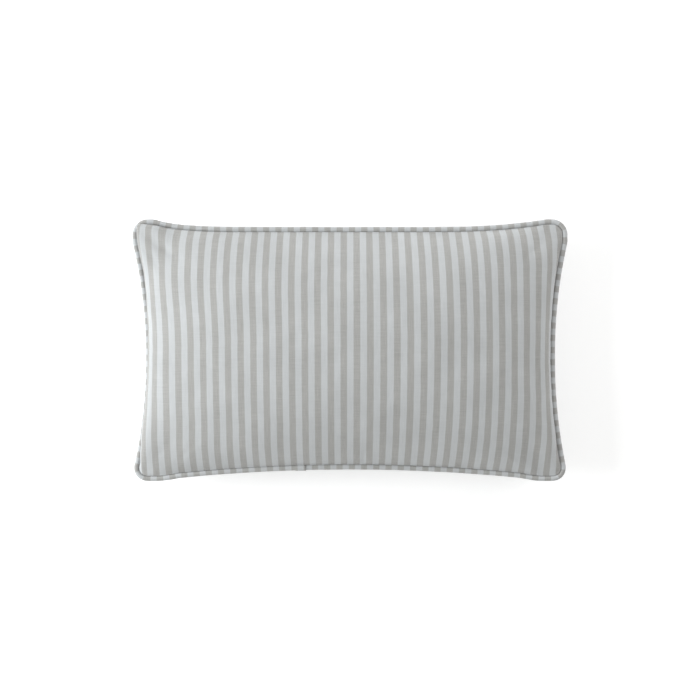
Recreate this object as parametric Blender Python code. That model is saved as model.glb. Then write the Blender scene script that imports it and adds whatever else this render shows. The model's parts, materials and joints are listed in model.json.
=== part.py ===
"""A piped lumbar throw pillow, lying on its back panel.

The cover is a front and a back panel with a corded piping caught in the seam all round. A zip
is hidden in the seam along the -Y side, between the piping and the back panel's folded edge.
Inside lies the insert: a two-piece casing and its fill.

X is the length, Y the width and Z the thickness. The origin is under the middle of the pillow,
on the surface it rests on. Every piece near the edge is placed by how far out of the seam it
lies ("out") and how far above the seam's plane ("up").
"""
import math
from collections import namedtuple

import bmesh
import bpy

MM = 0.001

# Overall sizes over the piping, before the sides bow in, and the plane of the seam.
LENGTH = 508 * MM
WIDTH = 307 * MM
SEAM_HEIGHT = 42 * MM
CROWN_FRONT = 52 * MM
REST_FLATTENING = 3 * MM
CROWN_BACK = SEAM_HEIGHT + REST_FLATTENING

# The outline of the seam: its corners, and how far each side bows in between them.
CORNER_RADIUS = 11 * MM
END_PULL = 15 * MM
TOP_PULL = 9 * MM
ZIP_SIDE_PULL = 15 * MM
TOP_PULL_POWER = 4
END_FULLNESS = 3.4
SIDE_FULLNESS = 2.2

# Cloth, thread and the clearance between pieces that touch.
FABRIC = 0.6 * MM
CASING = 0.5 * MM
THREAD = 0.3 * MM
GAP = 0.3 * MM
ALLOWANCE = 9 * MM
CASING_ALLOWANCE = 6 * MM
STITCH_INSET = 1.5 * MM

# Piping.
PIPING_RADIUS = 3.15 * MM
PIPING_CORD_SLACK = 0.5 * MM
PIPING_SIDES = 8

# Insert and fill, each set in from the seam of what holds it.
INSERT_INSET = 20 * MM
INSERT_SLACK = 1.6 * MM
FILL_INSET = 9 * MM
FILL_SLACK = 1.0 * MM

# Zip.
ZIP_LENGTH = 380 * MM
ZIP_RUNOUT = 12 * MM
TAPE = 0.4 * MM
TAPE_WIDTH = 11.5 * MM
TAPE_SET_BACK = 0.5 * MM
TAPE_STITCH_INSET = 8 * MM
COIL_HEIGHT = 1.0 * MM
COIL_WIDTH = 1.8 * MM
COIL_GAP = 1.2 * MM
STOP_LENGTH = 2.4 * MM
SLIDER_LENGTH = 9 * MM
SLIDER_PLATE = 1.8 * MM
SLIDER_NECK_LENGTH = 3 * MM
SLIDER_HEAD_WIDTH = 4 * MM
SLIDER_HEAD = 1.1 * MM
BAIL_WINDOW = 1.8 * MM
BAIL_WALL = 0.65 * MM
BAIL_WIDTH = 1.2 * MM
PULL_LENGTH = 21 * MM
PULL_WIDTH = 5 * MM
PULL_END_RADIUS = 3.4 * MM
PULL_THICKNESS = 1.0 * MM
PULL_WINDOW = 3.5 * MM

# Care label, caught inside the seam of the -X end.
LABEL_WIDTH = 38 * MM
LABEL_LENGTH = 12.5 * MM
LABEL_THICKNESS = 0.35 * MM
LABEL_FROM_MIDDLE = 60 * MM
LABEL_SET_IN = 3.5 * MM

# Grid lines along each half side, and around half of each corner.
LENGTH_CELLS = 8
WIDTH_CELLS = 5
CORNER_CELLS = 2
ZIP_CELLS = 14

# Levels of the layers in the seam, up from its plane: flanges, then the allowance over them.
FLANGE_TOP = GAP / 2 + FABRIC
ALLOWANCE_UP = FLANGE_TOP + GAP + FABRIC / 2
CASING_UP = (GAP + CASING) / 2
PIPING_OUT = math.sqrt((PIPING_RADIUS + 1.5 * FABRIC + GAP) ** 2 - (ALLOWANCE_UP + FABRIC) ** 2)

# Levels down through the zip, which lowers the back panel's edge to make room.
TAPE_FRONT_TOP = -FLANGE_TOP - GAP
COIL_FRONT_TOP = TAPE_FRONT_TOP - TAPE - GAP
COIL_BACK_TOP = COIL_FRONT_TOP - COIL_HEIGHT - COIL_GAP
TAPE_BACK_TOP = COIL_BACK_TOP - COIL_HEIGHT - GAP
BACK_ALLOWANCE_TOP = TAPE_BACK_TOP - TAPE - GAP
ZIP_DROP = TAPE_FRONT_TOP - BACK_ALLOWANCE_TOP
NECK_MIDDLE = COIL_FRONT_TOP - COIL_HEIGHT - COIL_GAP / 2

Shape = namedtuple("Shape", "half_length half_width corner_radius")
Shell = namedtuple("Shell", "shape thickness edge_up crown side powers allowance floor")
Station = namedtuple("Station", "x y out_x out_y drop")

COVER_SHAPE = Shape(LENGTH / 2 - PIPING_OUT - PIPING_RADIUS, WIDTH / 2 - PIPING_OUT - PIPING_RADIUS,
                    CORNER_RADIUS)
INSERT_SHAPE = Shape(COVER_SHAPE.half_length - INSERT_INSET, COVER_SHAPE.half_width - INSERT_INSET,
                     CORNER_RADIUS)
FILL_SHAPE = Shape(INSERT_SHAPE.half_length - FILL_INSET, INSERT_SHAPE.half_width - FILL_INSET,
                   CORNER_RADIUS)
COVER_POWERS = (0.7, 0.85)
CASING_POWERS = (0.55, 0.55)
FILL_POWERS = (0.5, 0.5)

# The zip side is a shallow arc, so the slider turns about its centre.
ARC_RADIUS = COVER_SHAPE.half_length ** 2 / (2 * ZIP_SIDE_PULL)
ARC_CENTRE_Y = -COVER_SHAPE.half_width + ZIP_SIDE_PULL - ARC_RADIUS
SLIDER_REST_ANGLE = ((ZIP_LENGTH - SLIDER_LENGTH) / 2 - GAP) / ARC_RADIUS


# Outline and surface.

def corner_turn(along, half, radius):
    """How far a side has come in at a distance along it, once it is on its corner's arc."""
    run = max(along - (half - radius), 0.0)
    return radius - math.sqrt(radius ** 2 - run ** 2)


def corner_cut(shape):
    """What a corner's arc takes off each side at its middle, at 45 degrees."""
    return shape.corner_radius * (1 - math.cos(math.pi / 4))


def plan(shape, u, v):
    """Lay a point of the square (-1 to 1 each way) into the outline seen from above."""
    cut = corner_cut(shape)
    turn_x = corner_turn(abs(v) * (shape.half_width - cut), shape.half_width, shape.corner_radius)
    turn_y = corner_turn(abs(u) * (shape.half_length - cut), shape.half_length, shape.corner_radius)
    x = u * (shape.half_length - cut) + math.copysign(u ** 4, u) * (cut - turn_x)
    y = v * (shape.half_width - cut) + math.copysign(v ** 4, v) * (cut - turn_y)
    along, across = x / shape.half_length, y / shape.half_width
    if y > 0:
        side_pull = TOP_PULL * (1 - abs(along) ** TOP_PULL_POWER)
    else:
        side_pull = ZIP_SIDE_PULL * (1 - along ** 2)
    return x - END_PULL * (1 - across ** 2) * along, y - side_pull * across


def swell(u, v, powers):
    """The rise of a stuffed panel, from 0 at its edge to 1 in its middle."""
    from_end = max(1 - abs(u) ** END_FULLNESS, 0.0)
    from_side = max(1 - abs(v) ** SIDE_FULLNESS, 0.0)
    return from_end ** powers[0] * from_side ** powers[1]


def zip_drop(x):
    """How far the back panel's edge lies below its usual level, to clear the zip."""
    full = ZIP_LENGTH / 2 + ZIP_RUNOUT
    none = max(COVER_SHAPE.half_length - CORNER_RADIUS, full + ZIP_RUNOUT)
    return ZIP_DROP * min(max((none - abs(x)) / (none - full), 0.0), 1.0)


def grid_lines(half, shape):
    """Grid lines from -1 to 1: wide in the middle, closer to the corners, by angle on their arcs."""
    cells = LENGTH_CELLS if half == shape.half_length else WIDTH_CELLS
    straight = half - shape.corner_radius
    reach = half - corner_cut(shape)
    lines = []
    for step in range(1, cells + 1):
        share = step / cells
        lines.append(straight * (share + math.sin(share * math.pi / 2)) / 2 / reach)
    for step in range(1, CORNER_CELLS + 1):
        angle = math.pi / 4 * step / CORNER_CELLS
        lines.append((straight + shape.corner_radius * math.sin(angle)) / reach)
    return [-line for line in reversed(lines)] + [0.0] + lines


def station(shape, u, v, du, dv):
    """A point of the seam, with the direction straight out of it; du and dv say which way round."""
    step = 1e-4
    x, y = plan(shape, u, v)
    back_x, back_y = plan(shape, u - step * du, v - step * dv)
    on_x, on_y = plan(shape, u + step * du, v + step * dv)
    length = math.hypot(on_x - back_x, on_y - back_y)
    drop = zip_drop(x) if v == -1 else 0.0
    return Station(x, y, (on_y - back_y) / length, (back_x - on_x) / length, drop)


def seam_ring(shape):
    """Stations all round the seam, anticlockwise from the corner at -X -Y."""
    along = grid_lines(shape.half_length, shape)
    across = grid_lines(shape.half_width, shape)
    ring = [station(shape, u, -1, 1, 0) for u in along[:-1]]
    ring += [station(shape, 1, v, 0, 1) for v in across[:-1]]
    ring += [station(shape, u, 1, -1, 0) for u in reversed(along[1:])]
    ring += [station(shape, -1, v, 0, -1) for v in reversed(across[1:])]
    return ring


def zip_stations(start_x, end_x, cells):
    """Stations along the zip side between two places."""
    reach = COVER_SHAPE.half_length - corner_cut(COVER_SHAPE)
    places = [start_x + (end_x - start_x) * step / cells for step in range(cells + 1)]
    return [station(COVER_SHAPE, place / reach, -1, 1, 0) for place in places]


# Mesh building.

def grown(bm, edges):
    """Extrude edges in place; gives each old vertex's new one, and the new edges."""
    made = bmesh.ops.extrude_edge_only(bm, edges=edges)["geom"]
    new_edges = [item for item in made if isinstance(item, bmesh.types.BMEdge)]
    new_verts = {item for item in made if isinstance(item, bmesh.types.BMVert)}
    pairs = {}
    for vert in new_verts:
        for edge in vert.link_edges:
            if edge.other_vert(vert) not in new_verts:
                pairs[edge.other_vert(vert)] = vert
    return pairs, new_edges


def finish(name, colour, roughness, metallic):
    """A plain material for one piece."""
    material = bpy.data.materials.new(name)
    material.use_nodes = True
    shader = material.node_tree.nodes["Principled BSDF"]
    shader.inputs["Base Color"].default_value = (*colour, 1.0)
    shader.inputs["Roughness"].default_value = roughness
    shader.inputs["Metallic"].default_value = metallic
    return material


CLOTH_LIGHT = (0.62, 0.65, 0.67)
CLOTH_DARK = (0.42, 0.41, 0.39)
WHITE_CLOTH = (0.80, 0.80, 0.78)
THREAD_GREY = (0.50, 0.50, 0.48)
NICKEL = (0.62, 0.62, 0.60)


def new_object(name, bm, colour, roughness=0.9, metallic=0.0):
    """Close a bmesh into a named object with its own material."""
    bmesh.ops.recalc_face_normals(bm, faces=bm.faces[:])
    mesh = bpy.data.meshes.new(name)
    bm.to_mesh(mesh)
    bm.free()
    mesh.shade_smooth()
    mesh.set_sharp_from_angle(angle=math.radians(40))
    mesh.materials.append(finish(name, colour, roughness, metallic))
    item = bpy.data.objects.new(name, mesh)
    bpy.context.scene.collection.objects.link(item)
    return item


def swept(name, stations, section, closed, colour, roughness=0.9, metallic=0.0, follow_drop=False):
    """Carry a section of (out, up) points along the seam."""
    bm = bmesh.new()

    def place(vert, stop, out, up):
        level = SEAM_HEIGHT + up - (stop.drop if follow_drop else 0.0)
        vert.co = (stop.x + stop.out_x * out, stop.y + stop.out_y * out, level)

    loop = [bm.verts.new((out, up, 0.0)) for out, up in section]
    edges = [bm.edges.new((loop[i - 1], loop[i])) for i in range(len(loop))]
    for vert, (out, up) in zip(loop, section):
        place(vert, stations[0], out, up)
    if not closed:
        bm.faces.new(loop)
    stops = list(stations[1:]) + ([stations[0]] if closed else [])
    for stop in stops:
        pairs, edges = grown(bm, edges)
        loop = [pairs[vert] for vert in loop]
        for vert, (out, up) in zip(loop, section):
            place(vert, stop, out, up)
    if closed:
        bmesh.ops.remove_doubles(bm, verts=bm.verts[:], dist=1e-7)
    else:
        bm.faces.new(loop)
    return new_object(name, bm, colour, roughness, metallic)


def rectangle(out, width, top, height):
    """A section from its outer edge and top face, in (out, up) points."""
    return [(out, top), (out - width, top), (out - width, top - height), (out, top - height)]


def circle_points(centre, radius, start, end, sides):
    """Points of an arc about a centre on the seam's plane, by angle from straight out."""
    angles = [start + (end - start) * step / sides for step in range(sides + 1)]
    return [(centre + radius * math.cos(a), radius * math.sin(a)) for a in angles]


def box(name, low, high, colour=NICKEL):
    """A box in the slider's own frame, with corners given as (along, out, up)."""
    bm = bmesh.new()
    bmesh.ops.create_cube(bm, size=1.0)
    for vert in bm.verts:
        share = [coordinate + 0.5 for coordinate in vert.co]
        along, out, up = (low[i] + (high[i] - low[i]) * share[i] for i in range(3))
        vert.co = (along, ARC_RADIUS - out, up)
    return new_object(name, bm, colour, 0.35, 1.0)


def combine(item, operand, operation):
    """Join or cut with another object, which is kept as a hidden guide."""
    modifier = item.modifiers.new(operation.lower(), "BOOLEAN")
    modifier.operation = operation
    modifier.object = operand
    operand.hide_render = True
    operand.display_type = "WIRE"


# Cover and insert.

def make_shell(name, shell, colour):
    """A stuffed panel with its seam allowance folded in under its edge."""
    bm = bmesh.new()
    shape = shell.shape
    along = grid_lines(shape.half_length, shape)
    across = grid_lines(shape.half_width, shape)
    bmesh.ops.create_grid(bm, x_segments=len(along) - 1, y_segments=len(across) - 1, size=1.0)
    edge_up = shell.edge_up + 2 * shell.thickness
    rise = shell.crown - edge_up - shell.thickness / 2
    has_zip = shape is COVER_SHAPE and shell.side < 0
    for vert in bm.verts:
        u = along[round((vert.co.x + 1) / 2 * (len(along) - 1))]
        v = across[round((vert.co.y + 1) / 2 * (len(across) - 1))]
        x, y = plan(shape, u, v)
        drop = zip_drop(x) * max(-v, 0.0) ** 6 if has_zip else 0.0
        up = edge_up + rise * swell(u, v, shell.powers)
        level = SEAM_HEIGHT + shell.side * up - drop
        vert.co = (x, y, max(level, shell.floor + shell.thickness / 2))
    ring = seam_ring(shape)
    edges = [edge for edge in bm.edges if edge.is_boundary]
    stops = {}
    for vert in {vert for edge in edges for vert in edge.verts}:
        stops[vert] = min(ring, key=lambda s: (s.x - vert.co.x) ** 2 + (s.y - vert.co.y) ** 2)
    fold = shell.thickness
    for out, inward_fold in ((fold, fold), (0.0, 2 * fold), (-shell.allowance, 2 * fold)):
        pairs, edges = grown(bm, edges)
        stops = {pairs[old]: stop for old, stop in stops.items()}
        for vert, stop in stops.items():
            drop = stop.drop if has_zip else 0.0
            level = SEAM_HEIGHT + shell.side * (edge_up - inward_fold) - drop
            vert.co = (stop.x + stop.out_x * out, stop.y + stop.out_y * out, level)
    item = new_object(name, bm, colour)
    solidify = item.modifiers.new("cloth", "SOLIDIFY")
    solidify.thickness = shell.thickness
    solidify.offset = 0.0
    return item


def make_fill(name, floor):
    """The fill: one closed crowned form, flat where it rests."""
    bm = bmesh.new()
    along = grid_lines(FILL_SHAPE.half_length, FILL_SHAPE)
    across = grid_lines(FILL_SHAPE.half_width, FILL_SHAPE)
    slack = INSERT_SLACK + CASING + FILL_SLACK + FABRIC
    for side, crown in ((1, CROWN_FRONT - slack), (-1, CROWN_BACK - slack)):
        made = bmesh.ops.create_grid(bm, x_segments=len(along) - 1, y_segments=len(across) - 1, size=1.0)
        for vert in made["verts"]:
            u = along[round((vert.co.x + 1) / 2 * (len(along) - 1))]
            v = across[round((vert.co.y + 1) / 2 * (len(across) - 1))]
            x, y = plan(FILL_SHAPE, u, v)
            vert.co = (x, y, max(SEAM_HEIGHT + side * crown * swell(u, v, FILL_POWERS), floor))
    bmesh.ops.remove_doubles(bm, verts=bm.verts[:], dist=1e-7)
    return new_object(name, bm, WHITE_CLOTH)


def make_panels():
    insert_slack = FABRIC + INSERT_SLACK
    for side, name, crown in ((1, "front", CROWN_FRONT), (-1, "back", CROWN_BACK)):
        cover = Shell(COVER_SHAPE, FABRIC, ALLOWANCE_UP, crown, side, COVER_POWERS, ALLOWANCE, 0.0)
        make_shell(name + "_panel", cover, CLOTH_LIGHT)
        casing = Shell(INSERT_SHAPE, CASING, CASING_UP, crown - insert_slack, side, CASING_POWERS,
                       CASING_ALLOWANCE, FABRIC + GAP)
        make_shell("insert_casing_" + name, casing, WHITE_CLOTH)
    make_fill("insert_fill", FABRIC + GAP + CASING + GAP)


def make_piping():
    """The cord, and the cloth folded round it, whose two flanges lie in the seam."""
    ring = seam_ring(COVER_SHAPE)
    inner_radius = PIPING_RADIUS - FABRIC
    outer_end = math.pi - math.asin(FLANGE_TOP / PIPING_RADIUS)
    inner_end = math.pi - math.asin(GAP / 2 / inner_radius)
    section = circle_points(PIPING_OUT, PIPING_RADIUS, outer_end, -outer_end, PIPING_SIDES)
    section += [(-ALLOWANCE, -FLANGE_TOP), (-ALLOWANCE, -GAP / 2)]
    section += circle_points(PIPING_OUT, inner_radius, -inner_end, inner_end, PIPING_SIDES)
    section += [(-ALLOWANCE, GAP / 2), (-ALLOWANCE, FLANGE_TOP)]
    swept("piping_sleeve", ring, section, True, CLOTH_DARK)
    cord_radius = inner_radius - PIPING_CORD_SLACK
    full_turn = circle_points(PIPING_OUT, cord_radius, 0.0, 2 * math.pi, PIPING_SIDES)[:-1]
    swept("piping_cord", ring, full_turn, True, WHITE_CLOTH)


def make_threads():
    """Lockstitch threads, lying on each side of the layers that they hold."""
    ring = seam_ring(COVER_SHAPE)
    outer_face = ALLOWANCE_UP + FABRIC / 2 + GAP
    above = rectangle(-STITCH_INSET, THREAD, outer_face + THREAD, THREAD)
    swept("seam_thread_front", ring, above, True, THREAD_GREY)
    reach = COVER_SHAPE.half_length - corner_cut(COVER_SHAPE)
    zip_end = (ZIP_LENGTH / 2 + ZIP_RUNOUT) / reach
    ends = [station(COVER_SHAPE, side * zip_end, -1, 1, 0) for side in (1, -1)]
    beyond = [stop for stop in ring if stop.y > 0 or abs(stop.x) > ends[0].x]
    start = next(i for i, stop in enumerate(beyond) if stop.x > 0)
    around = [ends[0]] + beyond[start:] + beyond[:start] + [ends[1]]
    below = rectangle(-STITCH_INSET, THREAD, -outer_face, THREAD)
    swept("seam_thread_back", around, below, False, THREAD_GREY, follow_drop=True)
    casing_face = CASING_UP + CASING / 2 + GAP
    on_casing = rectangle(-STITCH_INSET, THREAD, casing_face + THREAD, THREAD)
    swept("insert_seam_thread", seam_ring(INSERT_SHAPE), on_casing, True, WHITE_CLOTH)


def make_label():
    """A blank care label under the back allowance, inside the -X end."""
    reach = COVER_SHAPE.half_width - corner_cut(COVER_SHAPE)
    places = [-LABEL_FROM_MIDDLE + LABEL_WIDTH * share for share in (0.5, 0.0, -0.5)]
    stops = [station(COVER_SHAPE, -1, place / reach, 0, -1) for place in places]
    top = -ALLOWANCE_UP - FABRIC / 2 - GAP
    section = rectangle(-LABEL_SET_IN, LABEL_LENGTH, top, LABEL_THICKNESS)
    swept("care_label", stops, section, False, WHITE_CLOTH)


# Zip.

def make_chain():
    """Tapes, coils, their stitching and the stops at each end."""
    half = ZIP_LENGTH / 2
    tape_half = half + STOP_LENGTH + GAP
    coil_out = -TAPE_SET_BACK - GAP
    for name, tape_top, coil_top, thread_top in (
            ("front", TAPE_FRONT_TOP, COIL_FRONT_TOP, TAPE_FRONT_TOP - TAPE - GAP),
            ("back", TAPE_BACK_TOP, COIL_BACK_TOP, TAPE_BACK_TOP + GAP + THREAD)):
        tape = rectangle(-TAPE_SET_BACK, TAPE_WIDTH, tape_top, TAPE)
        swept("zipper_tape_" + name, zip_stations(-tape_half, tape_half, ZIP_CELLS), tape, False,
              THREAD_GREY)
        coil = rectangle(coil_out, COIL_WIDTH, coil_top, COIL_HEIGHT)
        swept("zipper_coil_" + name, zip_stations(-half, half, ZIP_CELLS), coil, False, THREAD_GREY, 0.5)
        thread = rectangle(-TAPE_STITCH_INSET, THREAD, thread_top, THREAD)
        swept("zipper_thread_" + name, zip_stations(-half, half, ZIP_CELLS), thread, False, THREAD_GREY)
        stop = rectangle(coil_out, COIL_WIDTH, coil_top, COIL_HEIGHT)
        swept("zipper_top_stop_" + name, zip_stations(half + GAP, half + GAP + STOP_LENGTH, 1), stop,
              False, NICKEL, 0.35, 1.0)
    both_coils = 2 * COIL_HEIGHT + COIL_GAP
    end_stop = rectangle(coil_out, COIL_WIDTH, COIL_FRONT_TOP, both_coils)
    swept("zipper_bottom_stop", zip_stations(-half - GAP - STOP_LENGTH, -half - GAP, 1), end_stop,
          False, NICKEL, 0.35, 1.0)


def make_slider(axle):
    """The slider: a plate inside the coils, a neck out through the slit and a bail outside it."""
    inner_face = -TAPE_SET_BACK - GAP - COIL_WIDTH - GAP
    half = SLIDER_LENGTH / 2
    top = TAPE_FRONT_TOP - TAPE - GAP
    bottom = TAPE_BACK_TOP + GAP
    neck_half = COIL_GAP / 2 - GAP
    head_inner = 1.5 * FABRIC + GAP
    head_outer = head_inner + SLIDER_HEAD
    window_top = NECK_MIDDLE - neck_half - 2 * BAIL_WALL
    window_bottom = window_top - BAIL_WINDOW
    bail_outer = head_outer + BAIL_WINDOW + BAIL_WALL
    slider = box("zipper_slider", (-half, inner_face - SLIDER_PLATE, bottom), (half, inner_face, top))
    parts = [
        ("slider_neck", (-SLIDER_NECK_LENGTH / 2, inner_face - SLIDER_PLATE / 2, NECK_MIDDLE - neck_half),
         (SLIDER_NECK_LENGTH / 2, head_outer, NECK_MIDDLE + neck_half), "UNION"),
        ("slider_head", (-SLIDER_HEAD_WIDTH / 2, head_inner, window_bottom - BAIL_WALL),
         (SLIDER_HEAD_WIDTH / 2, head_outer, NECK_MIDDLE), "UNION"),
        ("slider_bail", (-BAIL_WIDTH / 2, head_outer - SLIDER_HEAD / 2, window_bottom - BAIL_WALL),
         (BAIL_WIDTH / 2, bail_outer, window_top + BAIL_WALL), "UNION"),
        ("slider_window", (-BAIL_WIDTH, head_outer, window_bottom),
         (BAIL_WIDTH, head_outer + BAIL_WINDOW, window_top), "DIFFERENCE"),
    ]
    slider.parent = axle
    for name, low, high, operation in parts:
        tool = box(name, low, high)
        tool.parent = axle
        combine(slider, tool, operation)
    return head_outer + BAIL_WINDOW / 2, (window_top + window_bottom) / 2


def make_pull(axle, pin_out, pin_up):
    """The pull tab, hanging from the bail by the bar above its window."""
    bm = bmesh.new()
    half_width = PULL_WIDTH / 2
    bar = PULL_THICKNESS / 2
    end_centre = -PULL_LENGTH + bar + PULL_END_RADIUS
    outline = [(half_width, bar), (-half_width, bar)]
    outline += [(-half_width, -PULL_WINDOW - 2 * bar)]
    for step in range(9):
        angle = math.pi + math.pi * step / 8
        outline.append((PULL_END_RADIUS * math.cos(angle), end_centre + PULL_END_RADIUS * math.sin(angle)))
    outline.append((half_width, -PULL_WINDOW - 2 * bar))
    face = bm.faces.new([bm.verts.new((x, bar, up)) for x, up in outline])
    made = bmesh.ops.extrude_face_region(bm, geom=[face])["geom"]
    back = [item for item in made if isinstance(item, bmesh.types.BMVert)]
    bmesh.ops.translate(bm, verts=back, vec=(0.0, -PULL_THICKNESS, 0.0))
    pull = new_object("zipper_pull", bm, NICKEL, 0.35, 1.0)
    pull.parent = axle
    pull.location = (0.0, ARC_RADIUS - pin_out, pin_up)
    window_half = BAIL_WIDTH / 2 + 2 * GAP
    window = box("pull_window", (-window_half, pin_out - PULL_THICKNESS, pin_up - bar - PULL_WINDOW),
                 (window_half, pin_out + PULL_THICKNESS, pin_up - bar))
    window.parent = axle
    combine(pull, window, "DIFFERENCE")


def make_zip():
    make_chain()
    axle = bpy.data.objects.new("slider_axle", None)
    bpy.context.scene.collection.objects.link(axle)
    axle.location = (0.0, ARC_CENTRE_Y, SEAM_HEIGHT)
    axle.rotation_euler.z = -SLIDER_REST_ANGLE
    pin_out, pin_up = make_slider(axle)
    make_pull(axle, pin_out, pin_up)


for leftover in list(bpy.data.objects):
    bpy.data.objects.remove(leftover, do_unlink=True)
make_panels()
make_piping()
make_threads()
make_label()
make_zip()
bpy.context.view_layer.update()
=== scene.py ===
"""The finished look of a piped, striped lumbar pillow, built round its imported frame.

Every piece near the edge is placed by how far out of the seam it lies ("out") and how far above
the seam's plane ("up"), as the frame's own parts are. X is the length, Y the width with the zip
on the -Y side, and Z the thickness.
"""
import json
import math
from collections import namedtuple

import bmesh
import bpy
import numpy as np
from mathutils import Matrix, Vector, noise
from mathutils.bvhtree import BVHTree
from mathutils.kdtree import KDTree


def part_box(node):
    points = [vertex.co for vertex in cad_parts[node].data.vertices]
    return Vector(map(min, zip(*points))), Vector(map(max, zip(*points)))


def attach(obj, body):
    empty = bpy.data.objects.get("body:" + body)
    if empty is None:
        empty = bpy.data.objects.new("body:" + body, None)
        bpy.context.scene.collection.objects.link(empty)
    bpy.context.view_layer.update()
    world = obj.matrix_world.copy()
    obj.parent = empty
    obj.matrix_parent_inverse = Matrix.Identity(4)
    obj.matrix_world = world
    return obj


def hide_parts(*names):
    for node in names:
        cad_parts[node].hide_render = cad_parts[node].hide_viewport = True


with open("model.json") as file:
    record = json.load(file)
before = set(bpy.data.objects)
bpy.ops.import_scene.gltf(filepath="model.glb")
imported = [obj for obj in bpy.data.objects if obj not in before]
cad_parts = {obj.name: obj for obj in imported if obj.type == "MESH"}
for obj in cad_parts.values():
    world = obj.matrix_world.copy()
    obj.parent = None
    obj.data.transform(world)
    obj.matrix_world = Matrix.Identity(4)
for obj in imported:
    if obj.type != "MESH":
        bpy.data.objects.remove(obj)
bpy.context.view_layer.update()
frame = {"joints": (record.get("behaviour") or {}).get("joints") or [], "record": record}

bl_info = {
    "name": "Piped Striped Pillow",
    "version": (1, 0, 0),
    "blender": (4, 5, 0),
    "location": "View3D > Sidebar > Pillow",
    "description": "Builds the cloth, piping, zip and insert of a striped lumbar pillow",
    "category": "Object",
}

MM = 0.001
JOINTS = {joint["name"]: joint for joint in frame["joints"]}
ARC_CENTRE = Vector(JOINTS["slider_travel"]["pos_m"])
PIN = Vector(JOINTS["pull_swing"]["pos_m"])
SEAM_HEIGHT = ARC_CENTRE.z

Shape = namedtuple("Shape", "half_length half_width radius")
Line = namedtuple("Line", "x y out_x out_y along drop")
Levels = namedtuple("Levels", "allowance_up piping_out tape_front coil_front neck coil_back tape_back drop")


def size(name, description, default, **extra):
    """A length in metres that a user can set."""
    return bpy.props.FloatProperty(name=name, description=description, default=default, unit="LENGTH",
                                   precision=4, **extra)


def colour(name, description, default):
    """A colour that a user can set."""
    return bpy.props.FloatVectorProperty(name=name, description=description, default=default,
                                         subtype="COLOR", size=3, min=0.0, max=1.0)


def number(name, description, default):
    """A plain number that a user can set."""
    return bpy.props.FloatProperty(name=name, description=description, default=default)


# Settings.

class PillowCover(bpy.types.PropertyGroup):
    """The cover's outline, its stuffing and its cloth."""
    length: size("Length", "Over the piping, before the ends bow in", 508 * MM)
    width: size("Width", "Over the piping, before the sides bow in", 307 * MM)
    corner_radius: size("Corner radius", "Of the seam line", 11 * MM)
    left_pull: size("Left pull", "How far the -X end bows in", 17.8 * MM)
    right_pull: size("Right pull", "How far the +X end bows in", 16.6 * MM)
    top_pull: size("Top pull", "How far the side away from the zip bows in", 11 * MM)
    zip_side_pull: size("Zip side pull", "How far the zip side bows in", 15 * MM)
    corner_pull: size("Corner pull", "How far the corners themselves are drawn in", 2.2 * MM)
    left_taper: size("Left taper", "How far the cut's -X end is hollowed, to flatten its corners", 2.2 * MM)
    left_skew: size("Left skew", "How much more towards the side away from the zip", 4 * MM)
    right_taper: size("Right taper", "The same at the +X end", 7 * MM)
    left_drift: size("Left drift", "How far the fill has dragged the cloth from the -X end", 5.6 * MM)
    right_drift: size("Right drift", "The same at the +X end", 1.7 * MM)
    left_overhang: size("Left overhang", "Cloth rolled out over the -X piping", 6.2 * MM)
    right_overhang: size("Right overhang", "Cloth rolled out over the +X piping", 6.0 * MM)
    crown_front: size("Front crown", "Rise of the front over the seam", 51 * MM)
    crown_back: size("Back crown", "Depth of the back, before the floor flattens it", 47 * MM)
    fabric: size("Cloth thickness", "Of the striped cloth", 0.6 * MM)
    allowance: size("Seam allowance", "Folded in under the edge", 9 * MM)
    gap: size("Gap", "Clearance between pieces that touch", 0.3 * MM)
    front_pressure: number("Front pressure", "How hard the fill presses on the front", 240.0)
    back_pressure: number("Back pressure", "How hard the fill presses on the back", 120.0)
    pucker: size("Pucker", "Height of the small folds along the seam", 0.55 * MM)
    lump: size("Lumps", "Height of the soft unevenness of the fill", 0.9 * MM)


class PillowCloth(bpy.types.PropertyGroup):
    """The stripe and the weave."""
    pitch: size("Stripe pitch", "One light and one dark stripe", 14.75 * MM)
    shift: size("Stripe shift", "Middle of the light stripe nearest the cover's middle", 0.2 * MM)
    yarn: size("Yarn", "Spacing of the yarns", 0.62 * MM)
    light: colour("Light stripe", "Pale blue-white yarn", (0.565, 0.583, 0.590))
    dark: colour("Dark stripe", "Warm taupe yarn", (0.400, 0.393, 0.376))
    piping_pitch: size("Piping pitch", "One light and one dark block along the piping", 14.2 * MM)


class PillowPiping(bpy.types.PropertyGroup):
    """The corded edge."""
    radius: size("Radius", "Outside the cloth", 3.15 * MM)
    slack: size("Slack", "Between the cord and the cloth round it", 0.5 * MM)
    joint_x: size("Joint", "Where the two ends of the sleeve meet, along the zip side", -62 * MM)
    overlap: size("Overlap", "Of the sleeve's ends", 11 * MM)
    lay: size("Lay", "Length of one turn of the cord's strands", 15 * MM)


class PillowZip(bpy.types.PropertyGroup):
    """The hidden zip."""
    length: size("Length", "Of the closed coils", 380 * MM)
    run_out: size("Run-out", "Of the opening past each end", 12 * MM)
    tape: size("Tape", "Thickness of the tapes", 0.4 * MM)
    tape_width: size("Tape width", "Of each tape", 11.5 * MM)
    tape_set_back: size("Set back", "Tape edge behind the seam", 0.5 * MM)
    tape_stitch: size("Tape stitch", "Stitching behind the seam", 8 * MM)
    coil_height: size("Coil height", "Of each coil", 1.0 * MM)
    coil_width: size("Coil width", "Of each coil", 1.8 * MM)
    coil_gap: size("Coil gap", "Between the coils, for the slider's neck", 1.2 * MM)
    coil_pitch: size("Coil pitch", "Along the coil, turn to turn", 1.4 * MM)
    stop_length: size("Stop length", "Of the metal stops", 2.4 * MM)
    lip_rise: size("Lip", "How far the slit's folded edge stands up over the back coil", 2.0 * MM)


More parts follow.
